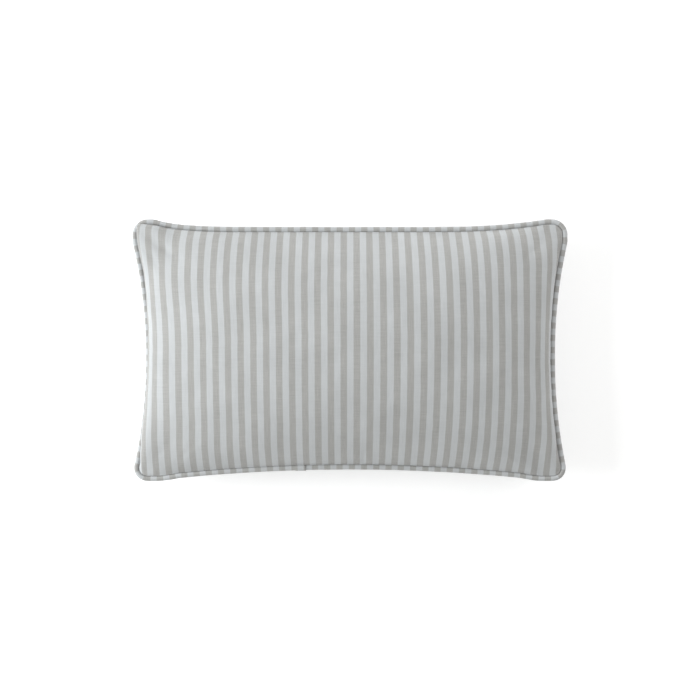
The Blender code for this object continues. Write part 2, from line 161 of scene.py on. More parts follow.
class PillowInsert(bpy.types.PropertyGroup):
    """The stuffed insert."""
    inset: size("Inset", "Insert's seam inside the cover's seam", 20 * MM)
    slack: size("Slack", "Under the cover", 2.2 * MM)
    casing: size("Casing", "Thickness of the white cotton", 0.5 * MM)
    fill_inset: size("Fill inset", "Fill inside the casing's seam", 9 * MM)
    fill_slack: size("Fill slack", "Under the casing", 1.2 * MM)
    allowance: size("Allowance", "Of the casing's seam", 6 * MM)


class PillowStage(bpy.types.PropertyGroup):
    """Floor, lights and camera."""
    camera_height: size("Camera height", "Above the seam", 1.5)
    view_width: size("View width", "Seen at the seam's level", 0.8105)
    key: number("Key", "Power of the large soft light on the left, in watts", 35.0)
    far: number("Far light", "Power of the soft light beyond the right corner, in watts", 14.5)
    world: number("World", "Strength of the even light all round", 0.52)
    floor: colour("Floor", "Pale floor", (0.90, 0.90, 0.90))
    glow: number("Floor glow", "The floor's own light, which keeps it white", 0.33)


# Outline. Places along a side are shares of its half length, from its middle.

BOW_REACH = 0.93
TOP_BOW, TOP_BOW_LEAN = 6, 2
END_BOW, END_BOW_SHIFT = 2.1, 0.06
ZIP_SIDE_CORNER, ZIP_SIDE_CORNER_RUN, ZIP_SIDE_CORNER_PULL = 0.80, 0.13, 0.8
SIDE_STEPS = 1500


def levels(scene):
    """Where the layers of the seam and the zip lie, up from the seam's plane."""
    cover, zipper, piping = scene.pillow_cover, scene.pillow_zip, scene.pillow_piping
    flange = cover.gap / 2 + cover.fabric
    allowance_up = flange + cover.gap + cover.fabric / 2
    reach = piping.radius + 1.5 * cover.fabric + cover.gap
    piping_out = math.sqrt(reach ** 2 - (allowance_up + cover.fabric) ** 2)
    tape_front = -flange - cover.gap
    coil_front = tape_front - zipper.tape - cover.gap
    neck = coil_front - zipper.coil_height - zipper.coil_gap / 2
    coil_back = neck - zipper.coil_gap / 2
    tape_back = coil_back - zipper.coil_height - cover.gap
    drop = tape_front - (tape_back - zipper.tape - cover.gap)
    return Levels(allowance_up, piping_out, tape_front, coil_front, neck, coil_back, tape_back, drop)


def seam_shape(scene, inset=0.0):
    """Half sizes of a seam, before it bows in."""
    cover = scene.pillow_cover
    edge = levels(scene).piping_out + scene.pillow_piping.radius + inset
    return Shape(cover.length / 2 - edge, cover.width / 2 - edge, cover.corner_radius)


def corner_turn(along, half, radius):
    """How far a side has come in at a distance along it, once it is on its corner's arc."""
    run = np.clip(along - (half - radius), 0.0, radius)
    return radius - np.sqrt(radius ** 2 - run ** 2)


def corner_cut(shape):
    """What a corner's arc takes off each side at 45 degrees."""
    return shape.radius * (1 - math.cos(math.pi / 4))


def flat_place(shape, u, v):
    """Lay points of the square (-1 to 1 each way) on the flat cut."""
    cut = corner_cut(shape)
    turn_x = corner_turn(np.abs(v) * (shape.half_width - cut), shape.half_width, shape.radius)
    turn_y = corner_turn(np.abs(u) * (shape.half_length - cut), shape.half_length, shape.radius)
    x = u * (shape.half_length - cut) + np.copysign(u ** 4, u) * (cut - turn_x)
    y = v * (shape.half_width - cut) + np.copysign(v ** 4, v) * (cut - turn_y)
    return x, y


def sewn_place(cover, shape, u, v):
    """The same points with the sides bowed in, as they lie in the stuffed pillow."""
    x, y = flat_place(shape, u, v)
    along, across = x / shape.half_length, y / shape.half_width
    least = cover.corner_pull
    top = least + (cover.top_pull - least) * bow(along, TOP_BOW - TOP_BOW_LEAN * along)
    near_corner = ease((np.abs(along) - ZIP_SIDE_CORNER) / ZIP_SIDE_CORNER_RUN)
    beside_zip = cover.zip_side_pull * (1 - along ** 2) * (1 - near_corner)
    beside_zip += ZIP_SIDE_CORNER_PULL * least * near_corner
    end = np.where(x > 0, cover.right_pull, cover.left_pull)
    end = least + (end - least) * bow(across + END_BOW_SHIFT, END_BOW)
    return x - end * along, y - np.where(y > 0, top, beside_zip) * across


def bow(place, power):
    """A side's inward curve: 1 in the middle, and 0 from a place near each end on."""
    return 1 - np.clip(np.abs(place) / BOW_REACH, 0.0, 1.0) ** power


def ease(done):
    """A smooth step from 0 to 1."""
    held = np.clip(done, 0.0, 1.0)
    return held * held * (3 - 2 * held)


def cut_place(cover, shape, u, v):
    """The same points on the cut, whose ends are hollowed a little."""
    x, y = flat_place(shape, u, v)
    return x - hollow_of(cover, shape, x, y), y


def hollow_of(cover, shape, x, y):
    """How far the hollowed ends bring in a place on the cut."""
    across = y / shape.half_width
    hollow = np.where(x > 0, cover.right_taper * (1 - across ** 2),
                      (cover.left_taper + cover.left_skew * across) * (1 - across ** 4))
    return hollow * x / shape.half_length


def swell(u, v, end_power=0.7, side_power=0.85):
    """The rise of a stuffed panel, from 0 at its edge to 1 in its middle."""
    from_end = np.clip(1 - np.abs(u) ** 3.4, 0.0, 1.0)
    from_side = np.clip(1 - np.abs(v) ** 2.2, 0.0, 1.0)
    return from_end ** end_power * from_side ** side_power


def zip_drop(scene, x):
    """How far the back panel's edge lies below its usual level, to clear the zip."""
    zipper = scene.pillow_zip
    full = zipper.length / 2 + zipper.run_out
    none = seam_shape(scene).half_length - scene.pillow_cover.corner_radius
    return levels(scene).drop * np.clip((none - np.abs(x)) / (none - full), 0.0, 1.0)


def seam_line(scene, shape, spacing, start_x=None, overlap=0.0):
    """Stations at even spacing round a seam, anticlockwise from above, from a place on the zip side."""
    fine = np.linspace(-1.0, 1.0, SIDE_STEPS + 1)
    side = np.ones_like(fine)
    u = np.concatenate((fine[:-1], side[:-1], -fine[:-1], -side))
    v = np.concatenate((-side[:-1], fine[:-1], side[:-1], -fine))
    x, y = sewn_place(scene.pillow_cover, shape, u, v)
    run = np.concatenate(([0.0], np.cumsum(np.hypot(np.diff(x), np.diff(y)))))
    start = 0.0
    if start_x is not None:
        start = float(np.interp(start_x, x[:SIDE_STEPS], run[:SIDE_STEPS]))
    along = np.linspace(0.0, run[-1] + overlap, round((run[-1] + overlap) / spacing) + 1)

    def at(offset):
        place = (along + start + offset) % run[-1]
        return np.interp(place, run, x), np.interp(place, run, y)

    (back_x, back_y), (here_x, here_y), (on_x, on_y) = at(-spacing / 2), at(0.0), at(spacing / 2)
    length = np.hypot(on_x - back_x, on_y - back_y)
    on_zip_side = here_y < -shape.half_width / 2
    drop = np.where(on_zip_side, zip_drop(scene, here_x), 0.0)
    return Line(here_x, here_y, (on_y - back_y) / length, (back_x - on_x) / length, along, drop)


def side_line(scene, start_x, end_x, spacing):
    """Stations along the zip side only."""
    shape = seam_shape(scene)
    x = np.linspace(start_x, end_x, max(round((end_x - start_x) / spacing), 1) + 1)
    reach = shape.half_length - corner_cut(shape)
    step = 0.5 * MM / reach
    v = -np.ones_like(x)
    here = sewn_place(scene.pillow_cover, shape, x / reach, v)
    back = sewn_place(scene.pillow_cover, shape, x / reach - step, v)
    on = sewn_place(scene.pillow_cover, shape, x / reach + step, v)
    length = np.hypot(on[0] - back[0], on[1] - back[1])
    return Line(here[0], here[1], (on[1] - back[1]) / length, (back[0] - on[0]) / length, x - start_x,
                zip_drop(scene, here[0]))


# Mesh tools.

WELD = 0.001 * MM


def read_points(mesh):
    points = np.empty(len(mesh.vertices) * 3, np.float32)
    mesh.vertices.foreach_get("co", points)
    return points.reshape(-1, 3).astype(float)


def write_points(mesh, points):
    mesh.vertices.foreach_set("co", np.asarray(points, np.float32).ravel())
    mesh.update()


def mesh_of(bm, name):
    """Turn a finished bmesh into a mesh."""
    mesh = bpy.data.meshes.new(name)
    bm.to_mesh(mesh)
    bm.free()
    return mesh


def grid_mesh(name, columns, rows):
    """A flat grid, with each point's column and row."""
    bm = bmesh.new()
    bmesh.ops.create_grid(bm, x_segments=columns - 1, y_segments=rows - 1, size=1.0)
    mesh = mesh_of(bm, name)
    points = read_points(mesh)
    column = np.rint((points[:, 0] + 1) / 2 * (columns - 1)).astype(int)
    row = np.rint((points[:, 1] + 1) / 2 * (rows - 1)).astype(int)
    return mesh, column, row


def set_uv(mesh, u, v, name="cloth"):
    """Lay a UV map, in metres, from one value for each point."""
    layer = mesh.uv_layers.get(name) or mesh.uv_layers.new(name=name)
    corner = np.empty(len(mesh.loops), np.int32)
    mesh.loops.foreach_get("vertex_index", corner)
    layer.data.foreach_set("uv", np.column_stack((u, v))[corner].astype(np.float32).ravel())


def tidy_mesh(mesh, capped=False):
    """Weld points that meet, close open ends if asked, and turn the faces outwards."""
    bm = bmesh.new()
    bm.from_mesh(mesh)
    bmesh.ops.remove_doubles(bm, verts=bm.verts[:], dist=WELD)
    if capped:
        bmesh.ops.holes_fill(bm, edges=[edge for edge in bm.edges if edge.is_boundary], sides=0)
    bmesh.ops.recalc_face_normals(bm, faces=bm.faces[:])
    bm.to_mesh(mesh)
    bm.free()
    return mesh


def swept(name, line, section):
    """Carry a section of (out, up) points along a line; the section may differ at each station."""
    section = np.asarray(section, float)
    section = np.broadcast_to(section, (len(line.x), *section.shape[-2:]))
    mesh, column, row = grid_mesh(name, len(line.x), section.shape[1])
    out, up = section[column, row, 0], section[column, row, 1]
    write_points(mesh, np.column_stack((line.x[column] + line.out_x[column] * out,
                                        line.y[column] + line.out_y[column] * out, SEAM_HEIGHT + up)))
    middle = section[len(section) // 2]
    across = np.concatenate(([0.0], np.cumsum(np.hypot(*np.diff(middle, axis=0).T))))
    set_uv(mesh, line.along[column], across[row])
    return tidy_mesh(mesh)


def strip_section(out, width, up, points=5):
    """The middle line of a flat strip, from its outer edge inwards."""
    return [(out - width * step / (points - 1), up) for step in range(points)]


def tube(name, path, radius, sides, up=Vector((0.0, 0.0, 1.0))):
    """A round tube along a path of points, with closed ends."""
    path = np.asarray(path, float)
    mesh, column, row = grid_mesh(name, len(path), sides + 1)
    ahead = np.gradient(path, axis=0)
    ahead /= np.linalg.norm(ahead, axis=1)[:, None]
    side = np.cross(ahead, np.asarray(up))
    side /= np.linalg.norm(side, axis=1)[:, None]
    over = np.cross(side, ahead)
    angle = 2 * math.pi * row / sides
    points = path[column] + radius * (np.cos(angle)[:, None] * side[column]
                                      + np.sin(angle)[:, None] * over[column])
    write_points(mesh, points)
    length = np.concatenate(([0.0], np.cumsum(np.linalg.norm(np.diff(path, axis=0), axis=1))))
    set_uv(mesh, length[column], angle * radius)
    return tidy_mesh(mesh, capped=True)


def add_piece(name, mesh, nodes, slot, body="pillow", thickness=0.0):
    """Link a finished mesh in its slot's finish, ride it on its body and let it stand for its nodes."""
    mesh.materials.clear()
    mesh.materials.append(finish_of(slot))
    mesh.shade_smooth()
    item = bpy.data.objects.new(name, mesh)
    bpy.context.scene.collection.objects.link(item)
    if thickness:
        solidify = item.modifiers.new("cloth", "SOLIDIFY")
        solidify.thickness = thickness
        solidify.offset = 0.0
    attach(item, body)
    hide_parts(*nodes)
    return item


def rounded_box(bm, low, high, bevel, segments=3):
    """A box with bevelled edges, between two corners."""
    made = bmesh.ops.create_cube(bm, size=1.0)["verts"]
    low, high = Vector(low), Vector(high)
    for vert in made:
        vert.co = [low[i] + (high[i] - low[i]) * (vert.co[i] + 0.5) for i in range(3)]
    edges = list({edge for vert in made for edge in vert.link_edges})
    bmesh.ops.bevel(bm, geom=edges, offset=bevel, offset_type="OFFSET", segments=segments, profile=0.5,
                    affect="EDGES", material=-1, clamp_overlap=True)


def evaluated_mesh(item):
    """A new mesh of an object with its modifiers applied."""
    graph = bpy.context.evaluated_depsgraph_get()
    return bpy.data.meshes.new_from_object(item.evaluated_get(graph), depsgraph=graph)


def combined(name, blank, others, operation):
    """Join closed meshes to a blank, or cut them from it, and give the one mesh."""
    items = []
    for mesh in (blank, *others):
        items.append(bpy.data.objects.new(name, mesh))
        bpy.context.scene.collection.objects.link(items[-1])
    for other in items[1:]:
        modifier = items[0].modifiers.new(name, "BOOLEAN")
        modifier.operation = operation
        modifier.object = other
    result = evaluated_mesh(items[0])
    for item in items:
        bpy.data.objects.remove(item)
    return result


def stations_of(edges, line):
    """The nearest station on a line for each point of some edges."""
    tree = KDTree(len(line.x))
    for index, place in enumerate(zip(line.x, line.y)):
        tree.insert((*place, 0.0), index)
    tree.balance()
    return {vert: tree.find((vert.co.x, vert.co.y, 0.0))[1] for edge in edges for vert in edge.verts}


def fold_rim(bm, line, side, steps, flat=None):
    """Fold a panel's rim in by steps, each the cloth's length since the last and its (out, up).

    With a layer of flat places, the folded cloth's are laid on beyond the rim's own.
    """
    edges = [edge for edge in bm.edges if edge.is_boundary]
    stations = stations_of(edges, line)
    for length, section in steps:
        made = bmesh.ops.extrude_edge_only(bm, edges=edges)["geom"]
        edges = [item for item in made if isinstance(item, bmesh.types.BMEdge)]
        fresh = {item for item in made if isinstance(item, bmesh.types.BMVert)}
        following = {}
        for vert in fresh:
            ends = (edge.other_vert(vert) for edge in vert.link_edges)
            old = next(end for end in ends if end not in fresh)
            station = stations[old]
            outward = Vector((line.out_x[station], line.out_y[station], 0.0))
            out, up = section[station]
            place = Vector((line.x[station], line.y[station], SEAM_HEIGHT + side * up))
            vert.co = place + outward * out
            if flat is not None:
                vert[flat] = old[flat] + outward * length
            following[vert] = station
        stations = following
    bmesh.ops.recalc_face_normals(bm, faces=bm.faces[:])


def ripple(x, y, seed):
    """Smooth noise, about -1 to 1, at a place."""
    return noise.noise(Vector((x, y, seed)))


def ripples(x, y, seed):
    """The same for arrays of places."""
    return np.array([ripple(a, b, seed) for a, b in zip(x, y)])


# Materials.

def tinted(base_colour, factor=1.0):
    """A colour made lighter or darker, with its alpha."""
    return (*[min(component * factor, 1.0) for component in base_colour], 1.0)


class Graph:
    """A material's node tree, with a short call for each kind of node."""

    def __init__(self, name):
        self.material = bpy.data.materials.new(name)
        self.material.use_nodes = True
        self.tree = self.material.node_tree
        self.shader = self.tree.nodes["Principled BSDF"]

    def node(self, kind, inputs=None, **settings):
        node = self.tree.nodes.new(kind)
        for key, value in settings.items():
            setattr(node, key, value)
        for key, value in (inputs or {}).items():
            self.feed(node.inputs[key], value)
        return node

    def feed(self, socket, value):
        if isinstance(value, bpy.types.NodeSocket):
            self.tree.links.new(value, socket)
        else:
            socket.default_value = value

    def math(self, operation, *values):
        return self.node("ShaderNodeMath", dict(enumerate(values)), operation=operation).outputs[0]

    def mix(self, factor, first, second, blend="MIX"):
        node = self.node("ShaderNodeMix", data_type="RGBA", blend_type=blend)
        self.feed(node.inputs["Factor"], factor)
        self.feed(node.inputs["A"], first)
        self.feed(node.inputs["B"], second)
        return node.outputs["Result"]

    def ramp(self, value, low, high, to_low=0.0, to_high=1.0):
        inputs = {"Value": value, "From Min": low, "From Max": high, "To Min": to_low, "To Max": to_high}
        return self.node("ShaderNodeMapRange", inputs, interpolation_type="SMOOTHSTEP").outputs["Result"]

    def uv(self):
        return self.node("ShaderNodeUVMap", uv_map="cloth").outputs["UV"]

    def place(self):
        return self.node("ShaderNodeTexCoord").outputs["Object"]

    def scaled(self, vector, scale):
        return self.node("ShaderNodeMapping", {"Vector": vector, "Scale": scale}).outputs["Vector"]

    def noise(self, vector, scale, detail=2.0, roughness=0.5):
        inputs = {"Vector": vector, "Scale": scale, "Detail": detail, "Roughness": roughness}
        return self.node("ShaderNodeTexNoise", inputs).outputs["Fac"]

    def split(self, vector):
        outputs = self.node("ShaderNodeSeparateXYZ", {"Vector": vector}).outputs
        return outputs["X"], outputs["Y"]

    def bump(self, height, distance, strength=1.0, normal=None):
        inputs = {"Height": height, "Distance": distance, "Strength": strength}
        if normal is not None:
            inputs["Normal"] = normal
        return self.node("ShaderNodeBump", inputs).outputs["Normal"]

    def finish(self, base, roughness, normal=None, metallic=0.0, **numbers):
        self.feed(self.shader.inputs["Base Color"], base)
        self.feed(self.shader.inputs["Roughness"], roughness)
        self.shader.inputs["Metallic"].default_value = metallic
        if normal is not None:
            self.feed(self.shader.inputs["Normal"], normal)
        for key, value in numbers.items():
            self.shader.inputs[key.replace("_", " ").title().replace("Ior", "IOR")].default_value = value
        return self.material


def plain_weave(graph, place, yarn):
    """Yarns going over and under: height 0 to 1, and 1 where the lengthwise yarn is on top."""
    x, y = graph.split(place)
    waver = graph.noise(place, 0.35 / yarn, 1.0)
    across = graph.math("SINE", graph.math("MULTIPLY", graph.math("MULTIPLY_ADD", waver, 0.5 * yarn, x),
                                           math.pi / yarn))
    down = graph.math("SINE", graph.math("MULTIPLY", graph.math("MULTIPLY_ADD", waver, -0.5 * yarn, y),
                                         math.pi / yarn))
    product = graph.math("MULTIPLY", across, down)
    height = graph.math("POWER", graph.math("ABSOLUTE", product), 0.6)
    return height, graph.ramp(product, -0.25, 0.25)


def slubs(graph, place, yarn, stretch, seed_shift):
    """Uneven thickness and shade along single yarns, in one direction."""
    moved = graph.node("ShaderNodeMapping", {"Vector": place, "Location": (seed_shift, seed_shift, 0.0),
                                             "Scale": stretch}).outputs["Vector"]
    return graph.noise(moved, 0.9 / yarn, 2.0, 0.55)


def striped_cloth(name, cloth, shade=1.0):
    """Woven stripe: pale blue-white and warm taupe, with white yarn crossing the taupe."""
    graph = Graph(name)
    place = graph.uv()
    yarn = cloth.yarn
    height, on_top = plain_weave(graph, place, yarn)
    lengthwise = slubs(graph, place, yarn, (1.0, 0.035, 1.0), 0.0)
    crosswise = slubs(graph, place, yarn, (0.03, 1.0, 1.0), 0.37)
    x, _ = graph.split(place)
    wander = graph.math("MULTIPLY_ADD", graph.noise(graph.scaled(place, (0.2, 1.0, 1.0)), 90.0), 0.5 * MM,
                        -0.25 * MM)
    phase = graph.math("MULTIPLY_ADD", graph.math("ADD", x, wander), 1 / cloth.pitch,
                       0.5 - cloth.shift / cloth.pitch)
    from_light = graph.math("ABSOLUTE", graph.math("SUBTRACT", graph.math("FRACT", phase), 0.5))
    is_dark = graph.ramp(from_light, 0.222, 0.278)
    streaks = graph.math("MULTIPLY_ADD", crosswise, 0.6, graph.math("MULTIPLY", lengthwise, 0.4))
    streaked = graph.ramp(streaks, 0.3, 0.7)
    # A shade below 1 paints every colour of the cloth darker. The piping's copy uses it as a painted shade.
    cool = graph.mix(streaked, tinted(cloth.light, 0.965 * shade), tinted(cloth.light, 1.035 * shade))
    deep = graph.mix(streaked, tinted(cloth.dark, 0.88 * shade), tinted(cloth.dark, 1.10 * shade))
    crossed = graph.mix(graph.math("MULTIPLY", on_top, 0.30), deep, cool)
    base = graph.mix(is_dark, cool, crossed)
    worn = graph.ramp(graph.noise(place, 22.0, 3.0), 0.3, 0.7, 0.965, 1.03)
    # Painted shade: the low places of the weave, between the yarns, are painted up to 10% darker. This
    # shade is multiplied into the base together with the random wear and the slub tone.
    groove_shade = graph.ramp(height, 0.0, 0.5, 0.90, 1.0)
    tone_and_groove_shade = graph.math("MULTIPLY", graph.math("MULTIPLY", worn, groove_shade),
                      graph.ramp(lengthwise, 0.2, 0.8, 0.98, 1.02))
    grey = graph.node("ShaderNodeCombineColor", {0: tone_and_groove_shade, 1: tone_and_groove_shade, 2: tone_and_groove_shade}).outputs[0]
    base = graph.mix(1.0, base, grey, "MULTIPLY")
    rough = graph.ramp(graph.noise(place, 900.0, 2.0), 0.2, 0.8, 0.78, 0.95)
    uneven = graph.math("MULTIPLY_ADD", lengthwise, 0.5, graph.math("MULTIPLY", crosswise, 0.5))
    soft = graph.bump(graph.noise(place, 60.0, 2.0), 1.2 * MM, 0.12)
    slubbed = graph.bump(uneven, 0.25 * MM, 0.5, soft)
    woven = graph.bump(height, 0.16 * MM, 0.75, slubbed)
    return graph.finish(base, rough, woven, sheen_weight=0.42, sheen_roughness=0.42,
                        specular_ior_level=0.25)


def plain_cotton(name, base_colour, yarn=0.45 * MM, shade=0.04):
    """Plain undyed cotton, woven finely."""
    graph = Graph(name)
    place = graph.place()
    height, _ = plain_weave(graph, place, yarn)
    mottled = graph.noise(place, 45.0, 3.0)
    base = graph.mix(graph.ramp(mottled, 0.3, 0.7), tinted(base_colour, 1 - shade),
                     tinted(base_colour, 1 + shade))
    rough = graph.ramp(graph.noise(place, 700.0), 0.2, 0.8, 0.82, 0.96)
    creased = graph.bump(graph.noise(place, 30.0, 4.0), 2.0 * MM, 0.25)
    return graph.finish(base, rough, graph.bump(height, 0.12 * MM, 0.7, creased), sheen_weight=0.2,
                        sheen_roughness=0.5)


def twisted(name, base_colour, lay, roughness, depth, sheen):
    """Strands laid round each other: thread, or the piping's cord."""
    graph = Graph(name)
    x, y = graph.split(graph.uv())
    turn = graph.math("SINE", graph.math("MULTIPLY", graph.math("ADD", x, graph.math("MULTIPLY", y, 1.6)),
                                         2 * math.pi / lay))
    fibre = graph.noise(graph.scaled(graph.uv(), (1.0, 6.0, 1.0)), 1.2 / lay, 3.0)
    strand = graph.math("MULTIPLY_ADD", turn, 0.5, 0.5)
    # Painted shade: the grooves between the strands are painted up to 20% darker.
    base = graph.mix(strand, tinted(base_colour, 0.80), tinted(base_colour))
    base = graph.mix(graph.math("MULTIPLY", fibre, 0.3), base, tinted(base_colour, 1.12))
    rough = graph.ramp(fibre, 0.3, 0.7, roughness - 0.08, roughness + 0.08)
    fuzzy = graph.bump(fibre, depth, 0.4)
    return graph.finish(base, rough, graph.bump(strand, depth, 0.8, fuzzy), sheen_weight=sheen)


def ribbed_tape(name, base_colour, rib):
    """Zip tape or ribbon: a dense weave with ribs along it."""
    graph = Graph(name)
    place = graph.uv()
    x, y = graph.split(place)
    rows = graph.math("SINE", graph.math("MULTIPLY", y, 2 * math.pi / rib))
    picks = graph.math("SINE", graph.math("MULTIPLY", x, 2 * math.pi / (0.55 * rib)))
    height = graph.math("MULTIPLY_ADD", graph.math("MULTIPLY_ADD", picks, 0.4, rows), 0.3, 0.5)
    mottled = graph.noise(place, 300.0, 2.0)
    # Painted shade: the hollows between the ribs are painted up to 18% darker.
    base = graph.mix(graph.ramp(height, 0.1, 0.9), tinted(base_colour, 0.82), tinted(base_colour))
    base = graph.mix(graph.math("MULTIPLY", mottled, 0.25), base, tinted(base_colour, 1.1))
    rough = graph.ramp(mottled, 0.2, 0.8, 0.6, 0.8)
    return graph.finish(base, rough, graph.bump(height, 0.10 * MM, 0.8), sheen_weight=0.15)


def nylon(name, base_colour):
    """Moulded nylon monofilament: satin, with a faint drawn grain."""
    graph = Graph(name)
    place = graph.place()
    grain = graph.noise(graph.scaled(place, (1.0, 6.0, 6.0)), 900.0, 2.0)
    base = graph.mix(graph.math("MULTIPLY", grain, 0.5), tinted(base_colour), tinted(base_colour, 0.86))
    rough = graph.ramp(grain, 0.2, 0.8, 0.30, 0.46)
    return graph.finish(base, rough, graph.bump(grain, 0.03 * MM, 0.4), coat_weight=0.15,
                        coat_roughness=0.3)


WORN_NICKEL = (0.47, 0.44, 0.39, 1.0)
PACKED_FIBRE = (0.84, 0.84, 0.83, 1.0)


def nickel(name, base_colour):
    """Plated die-cast metal: rolled grain and handling marks."""
    graph = Graph(name)
    place = graph.place()
    scratches = graph.noise(graph.scaled(place, (14.0, 1.0, 1.0)), 1400.0, 3.0, 0.65)
    cloudy = graph.noise(place, 260.0, 3.0)
    worn = graph.ramp(graph.noise(place, 520.0, 4.0, 0.7), 0.52, 0.68)
    base = graph.mix(graph.math("MULTIPLY", worn, 0.5), tinted(base_colour), WORN_NICKEL)
    base = graph.mix(graph.math("MULTIPLY", cloudy, 0.3), base, tinted(base_colour, 1.15))
    rough = graph.math("MULTIPLY_ADD", worn, 0.12, graph.ramp(scratches, 0.3, 0.7, 0.20, 0.38))
    cast = graph.bump(cloudy, 0.06 * MM, 0.35)
    return graph.finish(base, rough, graph.bump(scratches, 0.015 * MM, 0.5, cast), metallic=1.0)


def fibre(name, base_colour):
    """Carded polyester: a soft tangle with a slight lustre."""
    graph = Graph(name)
    place = graph.place()
    tangle = graph.noise(graph.scaled(place, (1.0, 1.0, 2.2)), 160.0, 6.0, 0.72)
    clump = graph.noise(place, 28.0, 3.0)
    base = graph.mix(graph.ramp(tangle, 0.25, 0.75), tinted(base_colour, 0.86), tinted(base_colour))
    base = graph.mix(graph.math("MULTIPLY", clump, 0.2), base, PACKED_FIBRE)
    rough = graph.ramp(tangle, 0.2, 0.8, 0.75, 0.95)
    clumped = graph.bump(clump, 6.0 * MM, 0.5)
    return graph.finish(base, rough, graph.bump(tangle, 1.5 * MM, 0.8, clumped), sheen_weight=0.5,
                        sheen_roughness=0.35)


def recorded_colour(slot):
    """A slot's own colour in the frame's record."""
    return next(m["base_color"] for m in frame["record"]["materials"] if m["slot"] == slot)


def finish_of(slot):
    """The material for a slot, made the first time it is asked for."""
    found = bpy.data.materials.get(slot + "_finish")
    if found:
        return found
    scene = bpy.context.scene
    name, base = slot + "_finish", recorded_colour(slot)
    makers = {
        "striped_cloth": lambda: striped_cloth(name, scene.pillow_cloth),
        # Painted shade: the piping's copy of the same striped cloth is painted 3% darker than the panels'.
        "piping_cloth": lambda: striped_cloth(name, scene.pillow_cloth, 0.97),
        "cotton_cord": lambda: twisted(name, base, scene.pillow_piping.lay / 3, 0.88, 0.5 * MM, 0.25),
        "sewing_thread": lambda: twisted(name, base, 0.7 * MM, 0.5, 0.05 * MM, 0.1),
        "zip_tape": lambda: ribbed_tape(name, base, 0.8 * MM),
        "zip_coil": lambda: nylon(name, base),
        "zip_metal": lambda: nickel(name, base),
        "insert_cloth": lambda: plain_cotton(name, base),
        "insert_fibre": lambda: fibre(name, base),
        "label_cloth": lambda: ribbed_tape(name, base, 0.5 * MM),
    }
    return makers[slot]()


# Cover.

CLOTH_COLUMNS = 120
CLOTH_ROWS = 72
SEWING_FRAMES = 14
STUFFING_FRAMES = 24


def add_cloth(item, pressure):
    """Let an object move as woven cloth, held at its seam and pressed from inside."""
    cloth = item.modifiers.new("cloth", "CLOTH")
    settings = cloth.settings
    settings.quality = 5
    settings.mass = 0.0003
    settings.air_damping = 1.0
    settings.tension_stiffness = 30.0
    settings.compression_stiffness = 5.0
    settings.shear_stiffness = 10.0
    settings.bending_stiffness = 0.05
    settings.tension_damping = settings.compression_damping = 0.02
    settings.shear_damping = settings.bending_damping = 0.02
    settings.vertex_group_mass = "seam"
    settings.use_pressure = True
    settings.uniform_pressure_force = pressure
    settings.effector_weights.gravity = 0.0
    cloth.collision_settings.use_collision = False
    cloth.collision_settings.use_self_collision = False
    cloth.point_cache.frame_start = 1
    cloth.point_cache.frame_end = STUFFING_FRAMES


def stuff_panel(scene, shape, rim, crown, pressure):
    """Sew the rim of a flat cut to the seam, press it from inside, and give the settled mesh.

    The mesh is relative to the seam's plane, upside up, with the flat cut in its UV map and each
    point's place in the square in the attribute "square".
    """
    cover = scene.pillow_cover
    mesh, column, row = grid_mesh("panel", CLOTH_COLUMNS + 1, CLOTH_ROWS + 1)
    u, v = column / CLOTH_COLUMNS * 2 - 1, row / CLOTH_ROWS * 2 - 1
    flat_x, flat_y = cut_place(cover, shape, u, v)
    sewn_x, sewn_y = sewn_place(cover, shape, u, v)
    rise = rim(sewn_x, v)
    dome = np.column_stack((sewn_x, sewn_y, rise + (crown - rise) * swell(u, v)))
    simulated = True
    write_points(mesh, np.column_stack((flat_x, flat_y, np.zeros_like(u))) if simulated else dome)
    square = mesh.attributes.new("square", "FLOAT2", "POINT")
    square.data.foreach_set("vector", np.column_stack((u, v)).astype(np.float32).ravel())
    set_uv(mesh, flat_x, flat_y)
    item = bpy.data.objects.new("panel", mesh)
    scene.collection.objects.link(item)
    if simulated:
        item.shape_key_add(name="flat")
        sewn = item.shape_key_add(name="sewn")
        sewn.data.foreach_set("co", dome.astype(np.float32).ravel())
        for step, value in ((1, 0.0), (1 + SEWING_FRAMES, 1.0)):
            sewn.value = value
            sewn.keyframe_insert("value", frame=step)
        pinned = item.vertex_groups.new(name="seam")
        pinned.add(np.flatnonzero(np.maximum(np.abs(u), np.abs(v)) > 1 - 1e-6).tolist(), 1.0, "REPLACE")
        add_cloth(item, pressure)
        for step in range(1, STUFFING_FRAMES + 1):
            scene.frame_set(step)
    finer = item.modifiers.new("finer", "SUBSURF")
    finer.levels = finer.render_levels = 1
    settled = evaluated_mesh(item)
    bpy.data.objects.remove(item)
    bpy.data.meshes.remove(mesh)
    scene.frame_set(1)
    return settled


Crease = namedtuple("Crease", "x y angle length width depth")
FRONT_CREASES = (
    Crease(-213 * MM, 118 * MM, -42, 34 * MM, 5.0 * MM, 1.6 * MM),
    Crease(-226 * MM, 104 * MM, -55, 26 * MM, 4.0 * MM, 1.0 * MM),
    Crease(214 * MM, 117 * MM, 222, 28 * MM, 4.5 * MM, 1.1 * MM),
    Crease(-216 * MM, -118 * MM, 46, 24 * MM, 5.0 * MM, 0.8 * MM),
    Crease(216 * MM, -119 * MM, 140, 26 * MM, 5.0 * MM, 0.8 * MM),
)
BACK_CREASES = (
    Crease(-214 * MM, 119 * MM, -38, 30 * MM, 5.0 * MM, 1.2 * MM),
    Crease(213 * MM, 118 * MM, 217, 34 * MM, 5.0 * MM, 1.5 * MM),
    Crease(-217 * MM, -117 * MM, 41, 26 * MM, 4.5 * MM, 1.0 * MM),
    Crease(215 * MM, -119 * MM, 136, 30 * MM, 5.0 * MM, 1.2 * MM),
)


